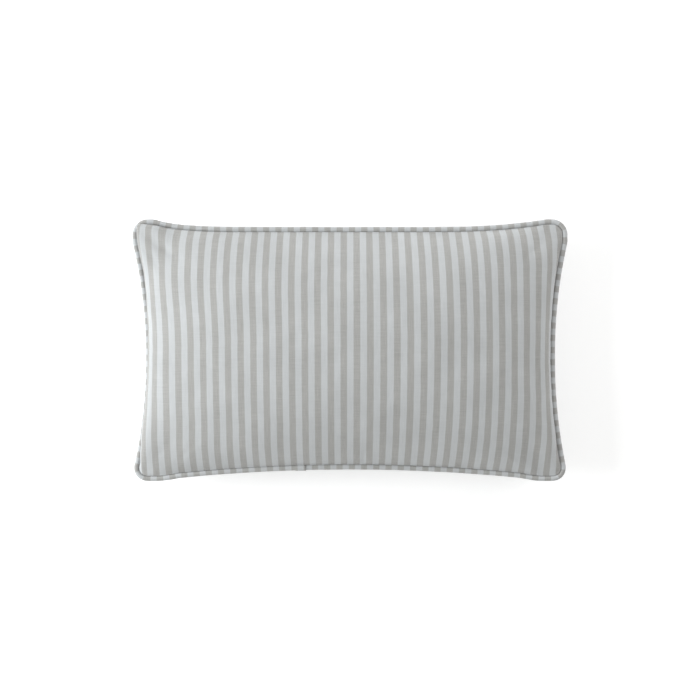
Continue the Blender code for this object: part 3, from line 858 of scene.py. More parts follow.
Lumps = namedtuple("Lumps", "share length width fade seed")
FILL_LUMPS = (Lumps(1.0, 52 * MM, 46 * MM, 40 * MM, 0.0), Lumps(0.35, 21 * MM, 26 * MM, 25 * MM, 3.7))
SMALL_FOLD, BROAD_FOLD, FOLD_REACH = 11 * MM, 27 * MM, 9 * MM
SEWN_MARGIN = 3 * MM
ROLL_START, ROLL_REACH, DRAG_REACH = 5 * MM, 36 * MM, 24 * MM
PUFF_START, PUFF = 4 * MM, np.array((-0.55, 1.2, 0.7))


def faded(distance, reach):
    """1 at a place, falling softly to 0 beyond a reach from it."""
    return np.exp(-(distance / reach) ** 2)


def crease_depth(crease, x, y):
    """How deep a fold that fades along its length is, at flat places."""
    angle = math.radians(crease.angle)
    along = (x - crease.x) * math.cos(angle) + (y - crease.y) * math.sin(angle)
    off = (y - crease.y) * math.cos(angle) - (x - crease.x) * math.sin(angle)
    fade = np.clip(1 - np.abs(along / crease.length), 0.0, 1.0) ** 1.5
    return crease.depth * fade * faded(off, crease.width)


def panel_height(cover, shape, u, v, creases, seed):
    """How far the fill's lumps, the folds along the seam and the corner creases raise the cloth."""
    x, y = flat_place(shape, u, v)
    from_end, from_side = shape.half_length * (1 - np.abs(u)), shape.half_width * (1 - np.abs(v))
    from_seam = np.minimum(from_end, from_side)
    height = np.zeros_like(x)
    for lumps in FILL_LUMPS:
        wave = ripples(x / lumps.length, y / lumps.width, seed + lumps.seed)
        height += lumps.share * cover.lump * wave * np.clip(from_seam / lumps.fade, 0.0, 1.0)
    for run, other, edge, offset in ((x, v, from_side, 11.0), (y, u, from_end, 23.0)):
        fold = ripples(run / SMALL_FOLD, np.copysign(1.7, other), seed + offset)
        broad = ripples(run / BROAD_FOLD, np.copysign(4.1, other), seed + offset + 5)
        reach = FOLD_REACH * (1 + 0.6 * broad)
        height += 1.3 * cover.pucker * (fold + 0.8 * broad) * np.exp(-(edge / reach) ** 1.3)
    for crease in creases:
        height -= crease_depth(crease, x, y)
    return height * np.clip(from_seam / SEWN_MARGIN, 0.0, 1.0)


def roughen_panel(mesh, scene, shape, creases, seed):
    """Make a settled panel uneven, roll it out over the end pipings and drag its cloth along."""
    cover = scene.pillow_cover
    square = np.empty(len(mesh.vertices) * 2, np.float32)
    mesh.attributes["square"].data.foreach_get("vector", square)
    u, v = square.reshape(-1, 2).astype(float).T
    normals = np.empty(len(mesh.vertices) * 3, np.float32)
    mesh.vertices.foreach_get("normal", normals)
    height = panel_height(cover, shape, u, v, creases, seed)
    points = read_points(mesh) + normals.reshape(-1, 3) * height[:, None]

    # The fill rolls the cloth out over both end pipings, and less near their corners.
    from_end = shape.half_length * (1 - np.abs(u))
    from_seam = np.minimum(from_end, shape.half_width * (1 - np.abs(v)))
    at_left = cover.left_overhang * (0.35 + 0.65 * ease((v + 0.98) / 0.35)) * (u < 0)
    at_right = cover.right_overhang * ease((0.99 - np.abs(v)) / 0.35) * (u > 0)
    rolled = (1 - np.exp(-from_end / ROLL_START)) * faded(from_end, ROLL_REACH)
    points[:, 0] += (at_right - at_left) * rolled

    # The -X corner away from the zip is the fullest, and puffs out both ways.
    at_corner = ease((-0.80 - u) / 0.13) * ease((v - 0.60) / 0.25)
    puffed = at_corner * (1 - np.exp(-from_seam / PUFF_START)) * faded(from_seam, DRAG_REACH)
    points += puffed[:, None] * cover.left_overhang * PUFF
    write_points(mesh, points)

    # The weave goes with the roll near the ends, and is dragged inwards further in.
    x, y = flat_place(shape, u, v)
    left_drift = np.clip(-u / 0.85, 0, 1) * ease((0.62 - v) / 0.6) * (1 - 0.4 * ease((-v - 0.5) / 0.4))
    right_drift = ease(u / 0.6) * (1 - v ** 2)
    dragged = 0.8 * (at_right - at_left) * faded(from_end, DRAG_REACH)
    dragged -= cover.left_drift * left_drift + cover.right_drift * right_drift
    set_uv(mesh, x - hollow_of(cover, shape, x, y) + dragged, y)


def settle_on_floor(mesh, limit):
    """Press whatever would go past the floor flat against it, with a soft shoulder."""
    soft, far = 1.2 * MM, 30.0
    points = read_points(mesh)
    over = (limit - points[:, 2]) / soft
    points[:, 2] = limit - soft * np.where(over > far, over, np.log1p(np.exp(np.minimum(over, far))))
    write_points(mesh, points)


ROLL_ANGLES = (30, 60, 90, 120, 150, 180)
ROLL_STEP = 0.35 * MM


def panel_folds(scene, line, side):
    """A panel's steps for fold_rim: round its edge, then in along its allowance.

    The back panel's edge beside the zip lies lower, and stands up as a lip first.
    """
    cover, now = scene.pillow_cover, levels(scene)
    roll, inner = cover.fabric, now.allowance_up
    plain = [(roll * math.sin(math.radians(angle)), inner + roll + roll * math.cos(math.radians(angle)))
             for angle in ROLL_ANGLES]
    plain += [(-cover.allowance / 2, inner), (-cover.allowance, inner)]
    rise, sunk = scene.pillow_zip.lip_rise, inner + now.drop
    lip = [(0.45 * MM, sunk + 0.75 * MM), (0.70 * MM, sunk - 0.05 * MM), (0.70 * MM, sunk - rise * 0.55),
           (0.42 * MM, sunk - rise * 0.93), (0.10 * MM, sunk - rise * 0.80), (-0.02 * MM, sunk - 0.45 * MM)]
    lip += [(-cover.allowance / 2, sunk), (-cover.allowance, sunk)]
    lengths = [ROLL_STEP] * len(ROLL_ANGLES) + [cover.allowance / 2] * 2
    depth = line.drop[:, None] / now.drop if side < 0 else np.zeros((len(line.drop), 1))
    return [(length, np.array(usual) * (1 - depth) + np.array(beside_zip) * depth)
            for length, usual, beside_zip in zip(lengths, plain, lip)]


def finish_panel(mesh, scene, shape, side):
    """Turn a settled panel the right way up, fold its edge in, and lay its UV map."""
    line = seam_line(scene, shape, 0.5 * MM)
    bm = bmesh.new()
    bm.from_mesh(mesh)
    flat = bm.verts.layers.float_vector.new("flat")
    layer = bm.loops.layers.uv["cloth"]
    for vert in bm.verts:
        vert[flat] = (*vert.link_loops[0][layer].uv, 0.0)
        vert.co.z = SEAM_HEIGHT + side * vert.co.z
    fold_rim(bm, line, side, panel_folds(scene, line, side), flat)
    for face in bm.faces:
        for loop in face.loops:
            loop[layer].uv = loop.vert[flat].xy
    middle = min(bm.faces, key=lambda face: face.calc_center_median().xy.length)
    if middle.normal.z * side < 0:
        bmesh.ops.reverse_faces(bm, faces=bm.faces[:])
    bm.verts.layers.float_vector.remove(flat)
    bm.to_mesh(mesh)
    bm.free()
    mesh.attributes.remove(mesh.attributes["square"])


class PILLOW_OT_cover(bpy.types.Operator):
    """Sew and stuff the striped front and back panels"""
    bl_idname = "pillow.cover"
    bl_label = "Cover"

    def execute(self, context):
        scene = context.scene
        cover, now, shape = scene.pillow_cover, levels(scene), seam_shape(scene)
        edge, tuck = now.allowance_up + 2 * cover.fabric, 0.3 * MM

        def back_rim(x, v):
            return edge + zip_drop(scene, x) * np.clip(-v, 0.0, 1.0) ** 6 - tuck * (v < -0.999)

        rims = {1: lambda x, v: np.full_like(x, edge), -1: back_rim}
        for side, name, crown, pressure, creases, seed in (
                (1, "front_panel", cover.crown_front, cover.front_pressure, FRONT_CREASES, 2.3),
                (-1, "back_panel", cover.crown_back, cover.back_pressure, BACK_CREASES, 8.1)):
            mesh = stuff_panel(scene, shape, rims[side], crown, pressure)
            roughen_panel(mesh, scene, shape, creases, seed)
            if side < 0:
                settle_on_floor(mesh, SEAM_HEIGHT - cover.fabric / 2)
            finish_panel(mesh, scene, shape, side)
            piece = add_piece("cover_" + name, mesh, [name], "striped_cloth", thickness=cover.fabric)
            "insert_casing_" + name.split("_")[0]
        return {"FINISHED"}


# Piping and threads.

HALF_TURN_STEPS = 9
LAP_RUN, LAP_END, LAP_RISE, LAP_OUT = 2 * MM, 0.9 * MM, 0.45 * MM, 0.25 * MM


class PILLOW_OT_piping(bpy.types.Operator):
    """Fold the striped sleeve round its cord along the whole seam"""
    bl_idname = "pillow.piping"
    bl_label = "Piping"

    def execute(self, context):
        self.add_sleeve(context.scene)
        self.add_core(context.scene)
        return {"FINISHED"}

    def add_sleeve(self, scene):
        """The striped cloth round the cord. Its ends lap beside the zip."""
        cover, piping, cloth = scene.pillow_cover, scene.pillow_piping, scene.pillow_cloth
        now = levels(scene)
        line = seam_line(scene, seam_shape(scene), 1.5 * MM, piping.joint_x, piping.overlap)
        radius, flange_up = piping.radius - cover.fabric / 2, (cover.gap + cover.fabric) / 2
        turn = math.pi - math.asin(flange_up / radius)
        round_length = line.along[-1] - piping.overlap
        angles = [turn * (1 - step / HALF_TURN_STEPS) for step in range(2 * HALF_TURN_STEPS + 1)]
        sections = []
        for along in line.along:
            place = along % round_length
            thick = 1 + 0.022 * ripple(place / (16 * MM), 0.3, 5.0)
            lift = 0.22 * MM * ripple(place / (34 * MM), 0.9, 6.0)
            drift = 0.18 * MM * ripple(place / (28 * MM), 1.6, 7.0)
            lapped = min(max((along - round_length + LAP_RUN) / LAP_RUN, 0.0), 1.0)
            flange = cover.allowance * (1 - lapped) - LAP_END * lapped
            girth = radius * thick + LAP_RISE * lapped
            centre = now.piping_out + drift + LAP_OUT * lapped
            around = [(centre + girth * math.cos(angle),
                       lift * (1 - abs(math.cos(angle)) ** 3) + girth * math.sin(angle))
                      for angle in angles]
            inner = [(-flange, flange_up), (-flange / 2, flange_up)]
            sections.append(inner + around + [(out, -up) for out, up in reversed(inner)])
        mesh = swept("piping_sleeve", line, sections)
        self.stretch_uv(mesh, cloth.pitch / cloth.piping_pitch)
        sleeve = add_piece("piping_cloth", mesh, ["piping_sleeve"], "piping_cloth", thickness=cover.fabric)

    def stretch_uv(self, mesh, factor):
        """Scale the map along the piping, which sets the length of the stripes."""
        layer = mesh.uv_layers["cloth"].data
        places = np.empty(len(layer) * 2, np.float32)
        layer.foreach_get("uv", places)
        places[0::2] *= factor
        layer.foreach_set("uv", places)

    def add_core(self, scene):
        """The cord itself, three strands twisted together."""
        cover, piping, now = scene.pillow_cover, scene.pillow_piping, levels(scene)
        line = seam_line(scene, seam_shape(scene), 1.2 * MM)
        core = piping.radius - cover.fabric - piping.slack
        angle = np.linspace(0.0, 2 * math.pi, 19)
        turns = round(line.along[-1] / piping.lay)
        twist = 2 * math.pi * turns * line.along / line.along[-1]
        reach = core * (0.92 + 0.08 * np.abs(np.cos(1.5 * (angle[None, :] - twist[:, None]))))
        section = np.stack((now.piping_out + reach * np.cos(angle), reach * np.sin(angle)), axis=2)
        add_piece("piping_core", swept("piping_core", line, section), ["piping_cord"], "cotton_cord")


def stitched(name, line, out, up, direction, stitch=2.8 * MM, radius=0.14 * MM):
    """A thread whose stitches rise from the cloth and dip at each needle hole."""
    rise = 0.16 * MM * np.abs(np.sin(math.pi * line.along / stitch)) ** 0.5
    across = line.y + line.out_y * out
    level = SEAM_HEIGHT + up + direction * rise - line.drop
    return tube(name, np.column_stack((line.x + line.out_x * out, across, level)), radius, 5)


def undropped(line):
    """The same line for a thread that keeps its level along the zip."""
    return line._replace(drop=np.zeros_like(line.drop))


class PILLOW_OT_threads(bpy.types.Operator):
    """Lay the lockstitch threads of the seams"""
    bl_idname = "pillow.threads"
    bl_label = "Threads"

    def execute(self, context):
        scene = context.scene
        cover, insert, zipper = scene.pillow_cover, scene.pillow_insert, scene.pillow_zip
        shape = seam_shape(scene)
        inset, lift = -1.5 * MM, 0.15 * MM
        face = levels(scene).allowance_up + cover.fabric / 2 + 0.5 * cover.gap + lift
        end = zipper.length / 2 + zipper.run_out
        round_zip = seam_line(scene, shape, 0.7 * MM, end)
        past_zip = (round_zip.y > -shape.half_width / 2) | (np.abs(round_zip.x) > end + MM)
        beside_zip = Line(*(values[past_zip] for values in round_zip))
        whole = undropped(seam_line(scene, shape, 0.7 * MM))
        inner = undropped(seam_line(scene, seam_shape(scene, insert.inset), 0.8 * MM))
        casing_face = cover.gap / 2 + insert.casing + 2 * lift
        for name, node, line, up, direction in (
                ("lockstitch_front", "seam_thread_front", whole, face, 1),
                ("lockstitch_back", "seam_thread_back", beside_zip, -face, -1),
                ("insert_stitching", "insert_seam_thread", inner, casing_face, 1)):
            add_piece(name, stitched(name, line, inset, up, direction), [node], "sewing_thread")
        return {"FINISHED"}


class PILLOW_OT_label(bpy.types.Operator):
    """Hang the blank care label inside the seam of the -X end"""
    bl_idname = "pillow.label"
    bl_label = "Care label"

    def execute(self, context):
        scene = context.scene
        low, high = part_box("care_label")
        shape = seam_shape(scene)
        seam_x, seam_y = sewn_place(scene.pillow_cover, shape, -np.ones(201), np.linspace(-1, 1, 201))
        rows, columns = 15, 39
        mesh, column, row = grid_mesh("label", columns, rows)
        along, in_from_seam = column / (columns - 1), row / (rows - 1)
        set_in, width, thickness = 3.4 * MM, 12.4 * MM, 0.3 * MM
        curl = -0.5 * MM * in_from_seam ** 2 * (1 + 0.4 * np.sin(along * math.pi * 3))
        y = low.y + (high.y - low.y) * along
        x = np.interp(y, seam_y, seam_x) + set_in + width * in_from_seam
        write_points(mesh, np.column_stack((x, y, (low.z + high.z) / 2 + curl)))
        set_uv(mesh, y, x)
        piece = add_piece("care_ribbon", tidy_mesh(mesh), ["care_label"], "label_cloth",
                          thickness=thickness)
        return {"FINISHED"}


# Zip.

SHARP = math.radians(50)


class PILLOW_OT_chain(bpy.types.Operator):
    """Make the zip's tapes, coils, stitching and stops"""
    bl_idname = "pillow.chain"
    bl_label = "Zip chain"

    def execute(self, context):
        scene = context.scene
        cover, zipper, now = scene.pillow_cover, scene.pillow_zip, levels(scene)
        half = zipper.length / 2
        end = half + zipper.stop_length + cover.gap
        line = side_line(scene, -end, end, 2.0 * MM)
        stitch_line = undropped(side_line(scene, -half, half, 0.7 * MM))
        proud = 0.45 * MM
        for which, tape_top, coil_top, face, direction in (
                ("front", now.tape_front, now.coil_front, now.tape_front - zipper.tape - proud, -1),
                ("back", now.tape_back, now.coil_back, now.tape_back + proud, 1)):
            section = strip_section(-zipper.tape_set_back, zipper.tape_width, tape_top - zipper.tape / 2)
            tape = add_piece("woven_tape_" + which, swept("tape", line, section), ["zipper_tape_" + which],
                             "zip_tape", thickness=zipper.tape)
            thread = stitched("tape_stitching", stitch_line, -zipper.tape_stitch, face, direction)
            add_piece("tape_stitching_" + which, thread, ["zipper_thread_" + which], "sewing_thread")
            self.add_coil(scene, which, -zipper.tape_set_back - cover.gap, coil_top)
            self.add_stop("zipper_top_stop_" + which)
        self.add_stop("zipper_bottom_stop")
        return {"FINISHED"}

    def add_coil(self, scene, which, out, top):
        """A spiral of nylon, flattened across the tape, whose turns are crimped into heads."""
        zipper = scene.pillow_zip
        wire, steps = 0.26 * MM, 10
        half = zipper.length / 2
        turns = int((zipper.length - 4 * wire) / zipper.coil_pitch)
        line = side_line(scene, -half + 2 * wire, half - 2 * wire, zipper.coil_pitch / steps)
        angle = np.linspace(0.0, 2 * math.pi * turns, len(line.x))
        centre = out - zipper.coil_width / 2
        reach, rise = zipper.coil_width / 2 - wire, zipper.coil_height / 2 - wire
        sideways = centre + reach * np.sign(np.cos(angle)) * np.abs(np.cos(angle)) ** 0.7
        level = SEAM_HEIGHT + top - zipper.coil_height / 2 + rise * np.sin(angle)
        path = np.column_stack((line.x + line.out_x * sideways, line.y + line.out_y * sideways, level))
        coil = tube("coil", path, wire, 5, Vector((1.0, 0.0, 0.05)))
        add_piece("spiral_coil_" + which, coil, ["zipper_coil_" + which], "zip_coil")

    def add_stop(self, node):
        """A small clamped metal stop, in its node's own box."""
        low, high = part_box(node)
        middle = (low + high) / 2
        bm = bmesh.new()
        rounded_box(bm, low, high, 0.3 * MM)
        waist = [vert for vert in bm.verts if abs(vert.co.x - middle.x) < (high.x - low.x) * 0.3]
        bmesh.ops.scale(bm, verts=waist, vec=(1.0, 1.0, 0.94), space=Matrix.Translation(-middle))
        add_piece("metal_" + node, mesh_of(bm, node), [node], "zip_metal")


def slider_space(scene):
    """From the slider's own (along, out, up) to its place: out is towards the arc's middle."""
    radial = Vector((PIN.x - ARC_CENTRE.x, PIN.y - ARC_CENTRE.y, 0.0)).normalized()
    tangent = Vector((radial.y, -radial.x, 0.0))
    shape, cover = seam_shape(scene), scene.pillow_cover
    arc = shape.half_length ** 2 / (2 * cover.zip_side_pull)
    origin = ARC_CENTRE + radial * arc
    columns = (tangent, -radial, Vector((0.0, 0.0, 1.0)))
    turn = Matrix([[columns[c][r] for c in range(3)] for r in range(3)])
    return Matrix.Translation(origin) @ turn.to_4x4()


def box_mesh(low, high, bevel, segments=3):
    """A bevelled box as a mesh of its own."""
    bm = bmesh.new()
    rounded_box(bm, low, high, bevel, segments)
    return mesh_of(bm, "part")


def add_cast(name, mesh, node, body):
    """Link a metal part with its larger edges sharp."""
    piece = add_piece(name, mesh, [node], "zip_metal", body)
    piece.data.set_sharp_from_angle(angle=SHARP)


class PILLOW_OT_slider(bpy.types.Operator):
    """Cast the slider: a plate behind the coils, a neck through the slit, and a bail outside"""
    bl_idname = "pillow.slider"
    bl_label = "Slider"

    def execute(self, context):
        scene = context.scene
        cover, zipper, now = scene.pillow_cover, scene.pillow_zip, levels(scene)
        gap = cover.gap
        inner = -zipper.tape_set_back - 2 * gap - zipper.coil_width
        top, bottom = now.tape_front - zipper.tape - gap, now.tape_back + gap
        neck_half = zipper.coil_gap / 2 - gap
        head_inner = 1.5 * cover.fabric + gap
        head_outer = head_inner + 1.1 * MM
        wall, window = 0.65 * MM, 1.8 * MM
        window_top = now.neck - neck_half - 2 * wall
        window_bottom = window_top - window
        plate_half, neck_half_length, head_half = 4.5 * MM, 1.5 * MM, 2.0 * MM
        plate = box_mesh((-plate_half, inner - 1.8 * MM, bottom), (plate_half, inner, top), 0.55 * MM, 4)
        neck = box_mesh((-neck_half_length, inner - 0.9 * MM, now.neck - neck_half),
                        (neck_half_length, head_outer - 0.2 * MM, now.neck + neck_half), 0.12 * MM)
        head = box_mesh((-head_half, head_inner, window_bottom - wall),
                        (head_half, head_outer, now.neck + neck_half), 0.32 * MM, 4)
        middle_up = (window_top + window_bottom) / 2
        bail = self.bail(head_outer, middle_up, window + wall / 2, window / 2 + wall / 2, wall / 2)
        mesh = combined("slider_part", plate, [neck, head, bail], "UNION")
        mesh.transform(slider_space(scene))
        add_cast("cast_slider", mesh, "zipper_slider", "slider")
        return {"FINISHED"}

    def bail(self, face, middle_up, reach, rise, radius):
        """The bridge that the pull hangs from: a squarish loop, wider along the zip than it is thick."""
        root = face - 0.3 * MM
        path = [(0.0, root, middle_up + rise)]
        for step in range(13):
            angle = math.pi / 2 - math.pi * step / 12
            path.append((0.0, face + reach * (0.35 + 0.65 * math.cos(angle) ** 0.8),
                         middle_up + rise * math.copysign(abs(math.sin(angle)) ** 0.8, math.sin(angle))))
        path.append((0.0, root, middle_up - rise))
        mesh = tube("bail", path, radius, 12, Vector((1.0, 0.0, 0.0)))
        points = read_points(mesh)
        points[:, 0] *= 1.5
        write_points(mesh, points)
        return mesh


class PILLOW_OT_pull(bpy.types.Operator):
    """Stamp the pull tab, which hangs from the slider's bail"""
    bl_idname = "pillow.pull"
    bl_label = "Pull tab"

    def execute(self, context):
        space = slider_space(context.scene)
        pin = space.inverted() @ PIN
        thickness, bar = 1.0 * MM, 0.5 * MM
        half_width, end_radius, length, window = 2.5 * MM, 3.4 * MM, 21 * MM, 3.5 * MM
        end_centre = -length + bar + end_radius
        outline = self.outline(bar, half_width, end_radius, end_centre, window)
        body = self.blank(outline, thickness)
        window_half, far = 1.2 * MM, 2 * MM
        cuts = [box_mesh((-window_half, -far, -bar - window), (window_half, far, -bar), 0.3 * MM)]
        for side in (1, -1):
            low, high = sorted((side * 0.34 * MM, side * far))
            cuts.append(box_mesh((-1.5 * MM, low, end_centre + 1.0 * MM),
                                 (1.5 * MM, high, -window - 3.2 * MM), 0.3 * MM))
        mesh = combined("pull_part", body, cuts, "DIFFERENCE")
        mesh.transform(space @ Matrix.Translation(pin))
        add_cast("stamped_pull", mesh, "zipper_pull", "pull_tab")
        return {"FINISHED"}

    def outline(self, bar, half_width, end_radius, end_centre, window):
        """The tab's (across, up) points: a round bar at the top, a waist and a round end."""
        waist = half_width * 0.86
        points = []
        for side, start in ((1, 0.0), (-1, 90.0)):
            for step in range(5):
                angle = math.radians(start + 90.0 * step / 4)
                points.append((side * (half_width - bar) + bar * math.cos(angle), bar * math.sin(angle)))
        points += [(-half_width, -window - 2 * bar), (-waist, -window - 4.5 * MM)]
        for step in range(23):
            angle = math.pi + math.pi * (step + 1) / 24
            points.append((end_radius * math.cos(angle), end_centre + end_radius * math.sin(angle)))
        return points + [(waist, -window - 4.5 * MM), (half_width, -window - 2 * bar)]

    def blank(self, outline, thickness):
        """The outline as a plate with rounded rims."""
        bm = bmesh.new()
        face = bm.faces.new([bm.verts.new((x, thickness / 2, up)) for x, up in outline])
        made = bmesh.ops.extrude_face_region(bm, geom=[face])["geom"]
        bmesh.ops.translate(bm, verts=[item for item in made if isinstance(item, bmesh.types.BMVert)],
                            vec=(0.0, -thickness, 0.0))
        bmesh.ops.recalc_face_normals(bm, faces=bm.faces[:])
        rims = [edge for edge in bm.edges if abs(edge.verts[0].co.y - edge.verts[1].co.y) < 1e-7]
        bmesh.ops.bevel(bm, geom=rims, offset=0.22 * MM, offset_type="OFFSET", segments=3, profile=0.5,
                        affect="EDGES", material=-1, clamp_overlap=True)
        return mesh_of(bm, "pull")


# Insert.

def roof(name):
    """Height lookups against a finished piece."""
    item = bpy.data.objects[name]
    return BVHTree.FromPolygons([vert.co for vert in item.data.vertices],
                                [polygon.vertices for polygon in item.data.polygons])


def under_roof(points, tree, side, clearance, floor):
    """Bring points in under a roof, leaving a clearance."""
    for point in points:
        start = Vector((point[0], point[1], SEAM_HEIGHT))
        hit, normal, _, _ = tree.ray_cast(start, Vector((0.0, 0.0, float(side))))
        if hit is not None:
            room = (hit.z - SEAM_HEIGHT) * side - clearance / max(abs(normal.z), 0.35)
            rise = min((point[2] - SEAM_HEIGHT) * side, room)
            point[2] = max(SEAM_HEIGHT + side * rise, floor)


class PILLOW_OT_insert(bpy.types.Operator):
    """Fill the cover with its stuffed white insert"""
    bl_idname = "pillow.insert"
    bl_label = "Insert"

    def execute(self, context):
        scene = context.scene
        cover, insert = scene.pillow_cover, scene.pillow_insert
        shape = seam_shape(scene, insert.inset)
        inner_shape = seam_shape(scene, insert.inset + insert.fill_inset)
        edge = (cover.gap + insert.casing) / 2
        floor = cover.fabric + cover.gap + insert.casing / 2
        bm = bmesh.new()
        for side, which, crown in ((1, "front", cover.crown_front), (-1, "back", cover.crown_back)):
            top = crown - cover.fabric - insert.slack
            points, mesh = self.dome(cover, shape, (110, 66), edge + 2 * insert.casing, top, 0.55, side)
            under_roof(points, roof(f"cover_{which}_panel"), side, cover.fabric + 0.9 * MM, floor)
            write_points(mesh, points)
            self.fold_in(mesh, scene, shape, side, edge)
            casing = add_piece("casing_" + which, mesh, ["insert_casing_" + which], "insert_cloth",
                               thickness=insert.casing)
            top -= insert.casing + insert.fill_slack
            points, mesh = self.dome(cover, inner_shape, (100, 60), 0.0, top, 0.5, side)
            lumps = ripples(points[:, 0] / (24 * MM), points[:, 1] / (24 * MM), 4.0 + side)
            held = np.abs(points[:, 2] - SEAM_HEIGHT) / (crown / 2)
            points[:, 2] -= side * np.abs(lumps) * 1.2 * MM * np.minimum(held, 1.0)
            under_roof(points, roof("casing_" + which), side, insert.casing + 0.6 * MM, floor + 0.6 * MM)
            write_points(mesh, points)
            bm.from_mesh(mesh)
        bmesh.ops.remove_doubles(bm, verts=bm.verts[:], dist=WELD)
        bmesh.ops.recalc_face_normals(bm, faces=bm.faces[:])
        piece = add_piece("polyester_fill", mesh_of(bm, "fill"), ["insert_fill"], "insert_fibre")
        return {"FINISHED"}

    def dome(self, cover, shape, cells, rim, crown, power, side):
        """A crowned panel's points and its mesh."""
        columns, rows = cells
        mesh, column, row = grid_mesh("dome", columns + 1, rows + 1)
        u, v = column / columns * 2 - 1, row / rows * 2 - 1
        x, y = sewn_place(cover, shape, u, v)
        set_uv(mesh, *flat_place(shape, u, v))
        up = rim + (crown - rim) * swell(u, v, power, power)
        return np.column_stack((x, y, SEAM_HEIGHT + side * up)), mesh

    def fold_in(self, mesh, scene, shape, side, edge):
        """Fold the casing's edge in to its own seam allowance."""
        fold, allowance = scene.pillow_insert.casing, scene.pillow_insert.allowance
        line = seam_line(scene, shape, 0.5 * MM)
        places = ((fold, edge + fold), (0.0, edge), (-allowance, edge))
        bm = bmesh.new()
        bm.from_mesh(mesh)
        fold_rim(bm, line, side, [(0.0, np.tile(place, (len(line.x), 1))) for place in places])
        bm.to_mesh(mesh)
        bm.free()


# Stage.

FLOOR_LEVEL = -0.2 * MM


def floor_finish(name, base_colour, glow):
    """Matt paper, almost even."""
    graph = Graph(name)
    cloudy = graph.noise(graph.place(), 3.0, 2.0)
    base = graph.mix(cloudy, tinted(base_colour, 0.995), tinted(base_colour))
    return graph.finish(base, 0.9, emission_color=(1.0, 1.0, 1.0, 1.0), emission_strength=glow,
                        specular_ior_level=0.1)


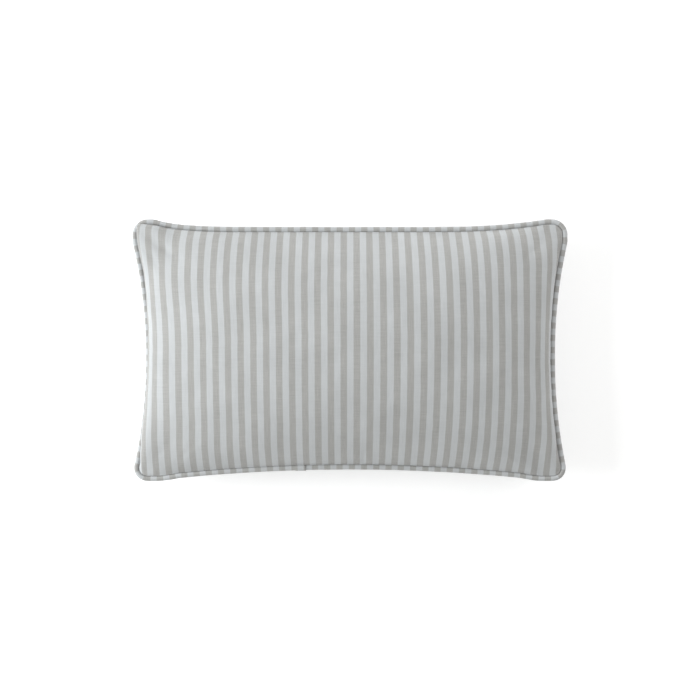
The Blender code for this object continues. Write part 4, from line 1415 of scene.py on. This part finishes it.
class PILLOW_OT_stage(bpy.types.Operator):
    """Set the pale floor, the soft lights and the camera over the pillow"""
    bl_idname = "pillow.stage"
    bl_label = "Stage"

    def execute(self, context):
        scene = context.scene
        stage = scene.pillow_stage
        bm = bmesh.new()
        bmesh.ops.create_grid(bm, x_segments=1, y_segments=1, size=15.0)
        mesh = mesh_of(bm, "floor")
        mesh.materials.append(floor_finish("floor_finish", stage.floor, stage.glow))
        floor = bpy.data.objects.new("floor", mesh)
        floor.location.z = FLOOR_LEVEL
        scene.collection.objects.link(floor)
        scene.world = self.studio(stage)
        self.light(scene, "key", stage.key, place=(-1.75, 0.05, 0.80), tint=(0.965, 0.985, 1.0))
        self.light(scene, "far", stage.far, place=(1.05, 1.40, 0.95), tint=(0.99, 0.99, 1.0))
        camera = bpy.data.cameras.new("camera")
        camera.sensor_width = 36.0
        camera.lens = camera.sensor_width * stage.camera_height / stage.view_width
        camera.clip_start = 0.05
        holder = bpy.data.objects.new("camera", camera)
        holder.location = (0.0, 0.0, SEAM_HEIGHT + stage.camera_height)
        scene.collection.objects.link(holder)
        scene.camera = holder
        scene.view_settings.view_transform = "Standard"
        scene.view_settings.look = "None"
        return {"FINISHED"}

    def studio(self, stage):
        """Even light all round. Seen directly, it is as bright as the far end of the floor."""
        world = bpy.data.worlds.new("studio")
        world.use_nodes = True
        tree = world.node_tree
        lighting = tree.nodes["Background"]
        backdrop = tree.nodes.new("ShaderNodeBackground")
        seen = stage.floor[0] * stage.world + stage.glow
        for shader, strength in ((lighting, stage.world), (backdrop, seen)):
            shader.inputs["Color"].default_value = (1.0, 1.0, 0.985, 1.0)
            shader.inputs["Strength"].default_value = strength
        rays = tree.nodes.new("ShaderNodeLightPath")
        either = tree.nodes.new("ShaderNodeMixShader")
        tree.links.new(rays.outputs["Is Camera Ray"], either.inputs["Fac"])
        tree.links.new(lighting.outputs["Background"], either.inputs[1])
        tree.links.new(backdrop.outputs["Background"], either.inputs[2])
        tree.links.new(either.outputs["Shader"], tree.nodes["World Output"].inputs["Surface"])
        return world

    def light(self, scene, name, power, place, tint):
        """A soft light a metre square, aimed at the pillow."""
        lamp = bpy.data.lights.new(name, "AREA")
        lamp.energy = power
        lamp.size = 1.0
        lamp.color = tint
        holder = bpy.data.objects.new(name, lamp)
        holder.location = place
        aim = Vector((0.0, 0.0, SEAM_HEIGHT)) - Vector(place)
        holder.rotation_euler = aim.to_track_quat("-Z", "Y").to_euler()
        scene.collection.objects.link(holder)


class PILLOW_PT_sidebar(bpy.types.Panel):
    """The pillow's pieces, in the order they are made"""
    bl_label = "Pillow"
    bl_idname = "PILLOW_PT_sidebar"
    bl_space_type = "VIEW_3D"
    bl_region_type = "UI"
    bl_category = "Pillow"

    def draw(self, context):
        for operator in OPERATORS:
            self.layout.operator(operator.bl_idname)
        for name in GROUPS:
            box = self.layout.box()
            group = getattr(context.scene, name)
            for key in group.__annotations__:
                box.prop(group, key)


GROUPS = {
    "pillow_cover": PillowCover,
    "pillow_cloth": PillowCloth,
    "pillow_piping": PillowPiping,
    "pillow_zip": PillowZip,
    "pillow_insert": PillowInsert,
    "pillow_stage": PillowStage,
}
OPERATORS = (PILLOW_OT_cover, PILLOW_OT_piping, PILLOW_OT_threads, PILLOW_OT_label, PILLOW_OT_chain,
             PILLOW_OT_slider, PILLOW_OT_pull, PILLOW_OT_insert, PILLOW_OT_stage)


def register():
    for item in (*GROUPS.values(), *OPERATORS, PILLOW_PT_sidebar):
        bpy.utils.register_class(item)
    for name, group in GROUPS.items():
        setattr(bpy.types.Scene, name, bpy.props.PointerProperty(type=group))


def unregister():
    for name in GROUPS:
        delattr(bpy.types.Scene, name)
    for item in (PILLOW_PT_sidebar, *reversed(OPERATORS), *reversed(GROUPS.values())):
        bpy.utils.unregister_class(item)


def main():
    register()
    bpy.ops.pillow.cover()
    bpy.ops.pillow.piping()
    bpy.ops.pillow.threads()
    bpy.ops.pillow.label()
    bpy.ops.pillow.chain()
    bpy.ops.pillow.slider()
    bpy.ops.pillow.pull()
    bpy.ops.pillow.insert()
    bpy.ops.pillow.stage()
    bpy.context.view_layer.update()


if __name__ == "__main__":
    main()
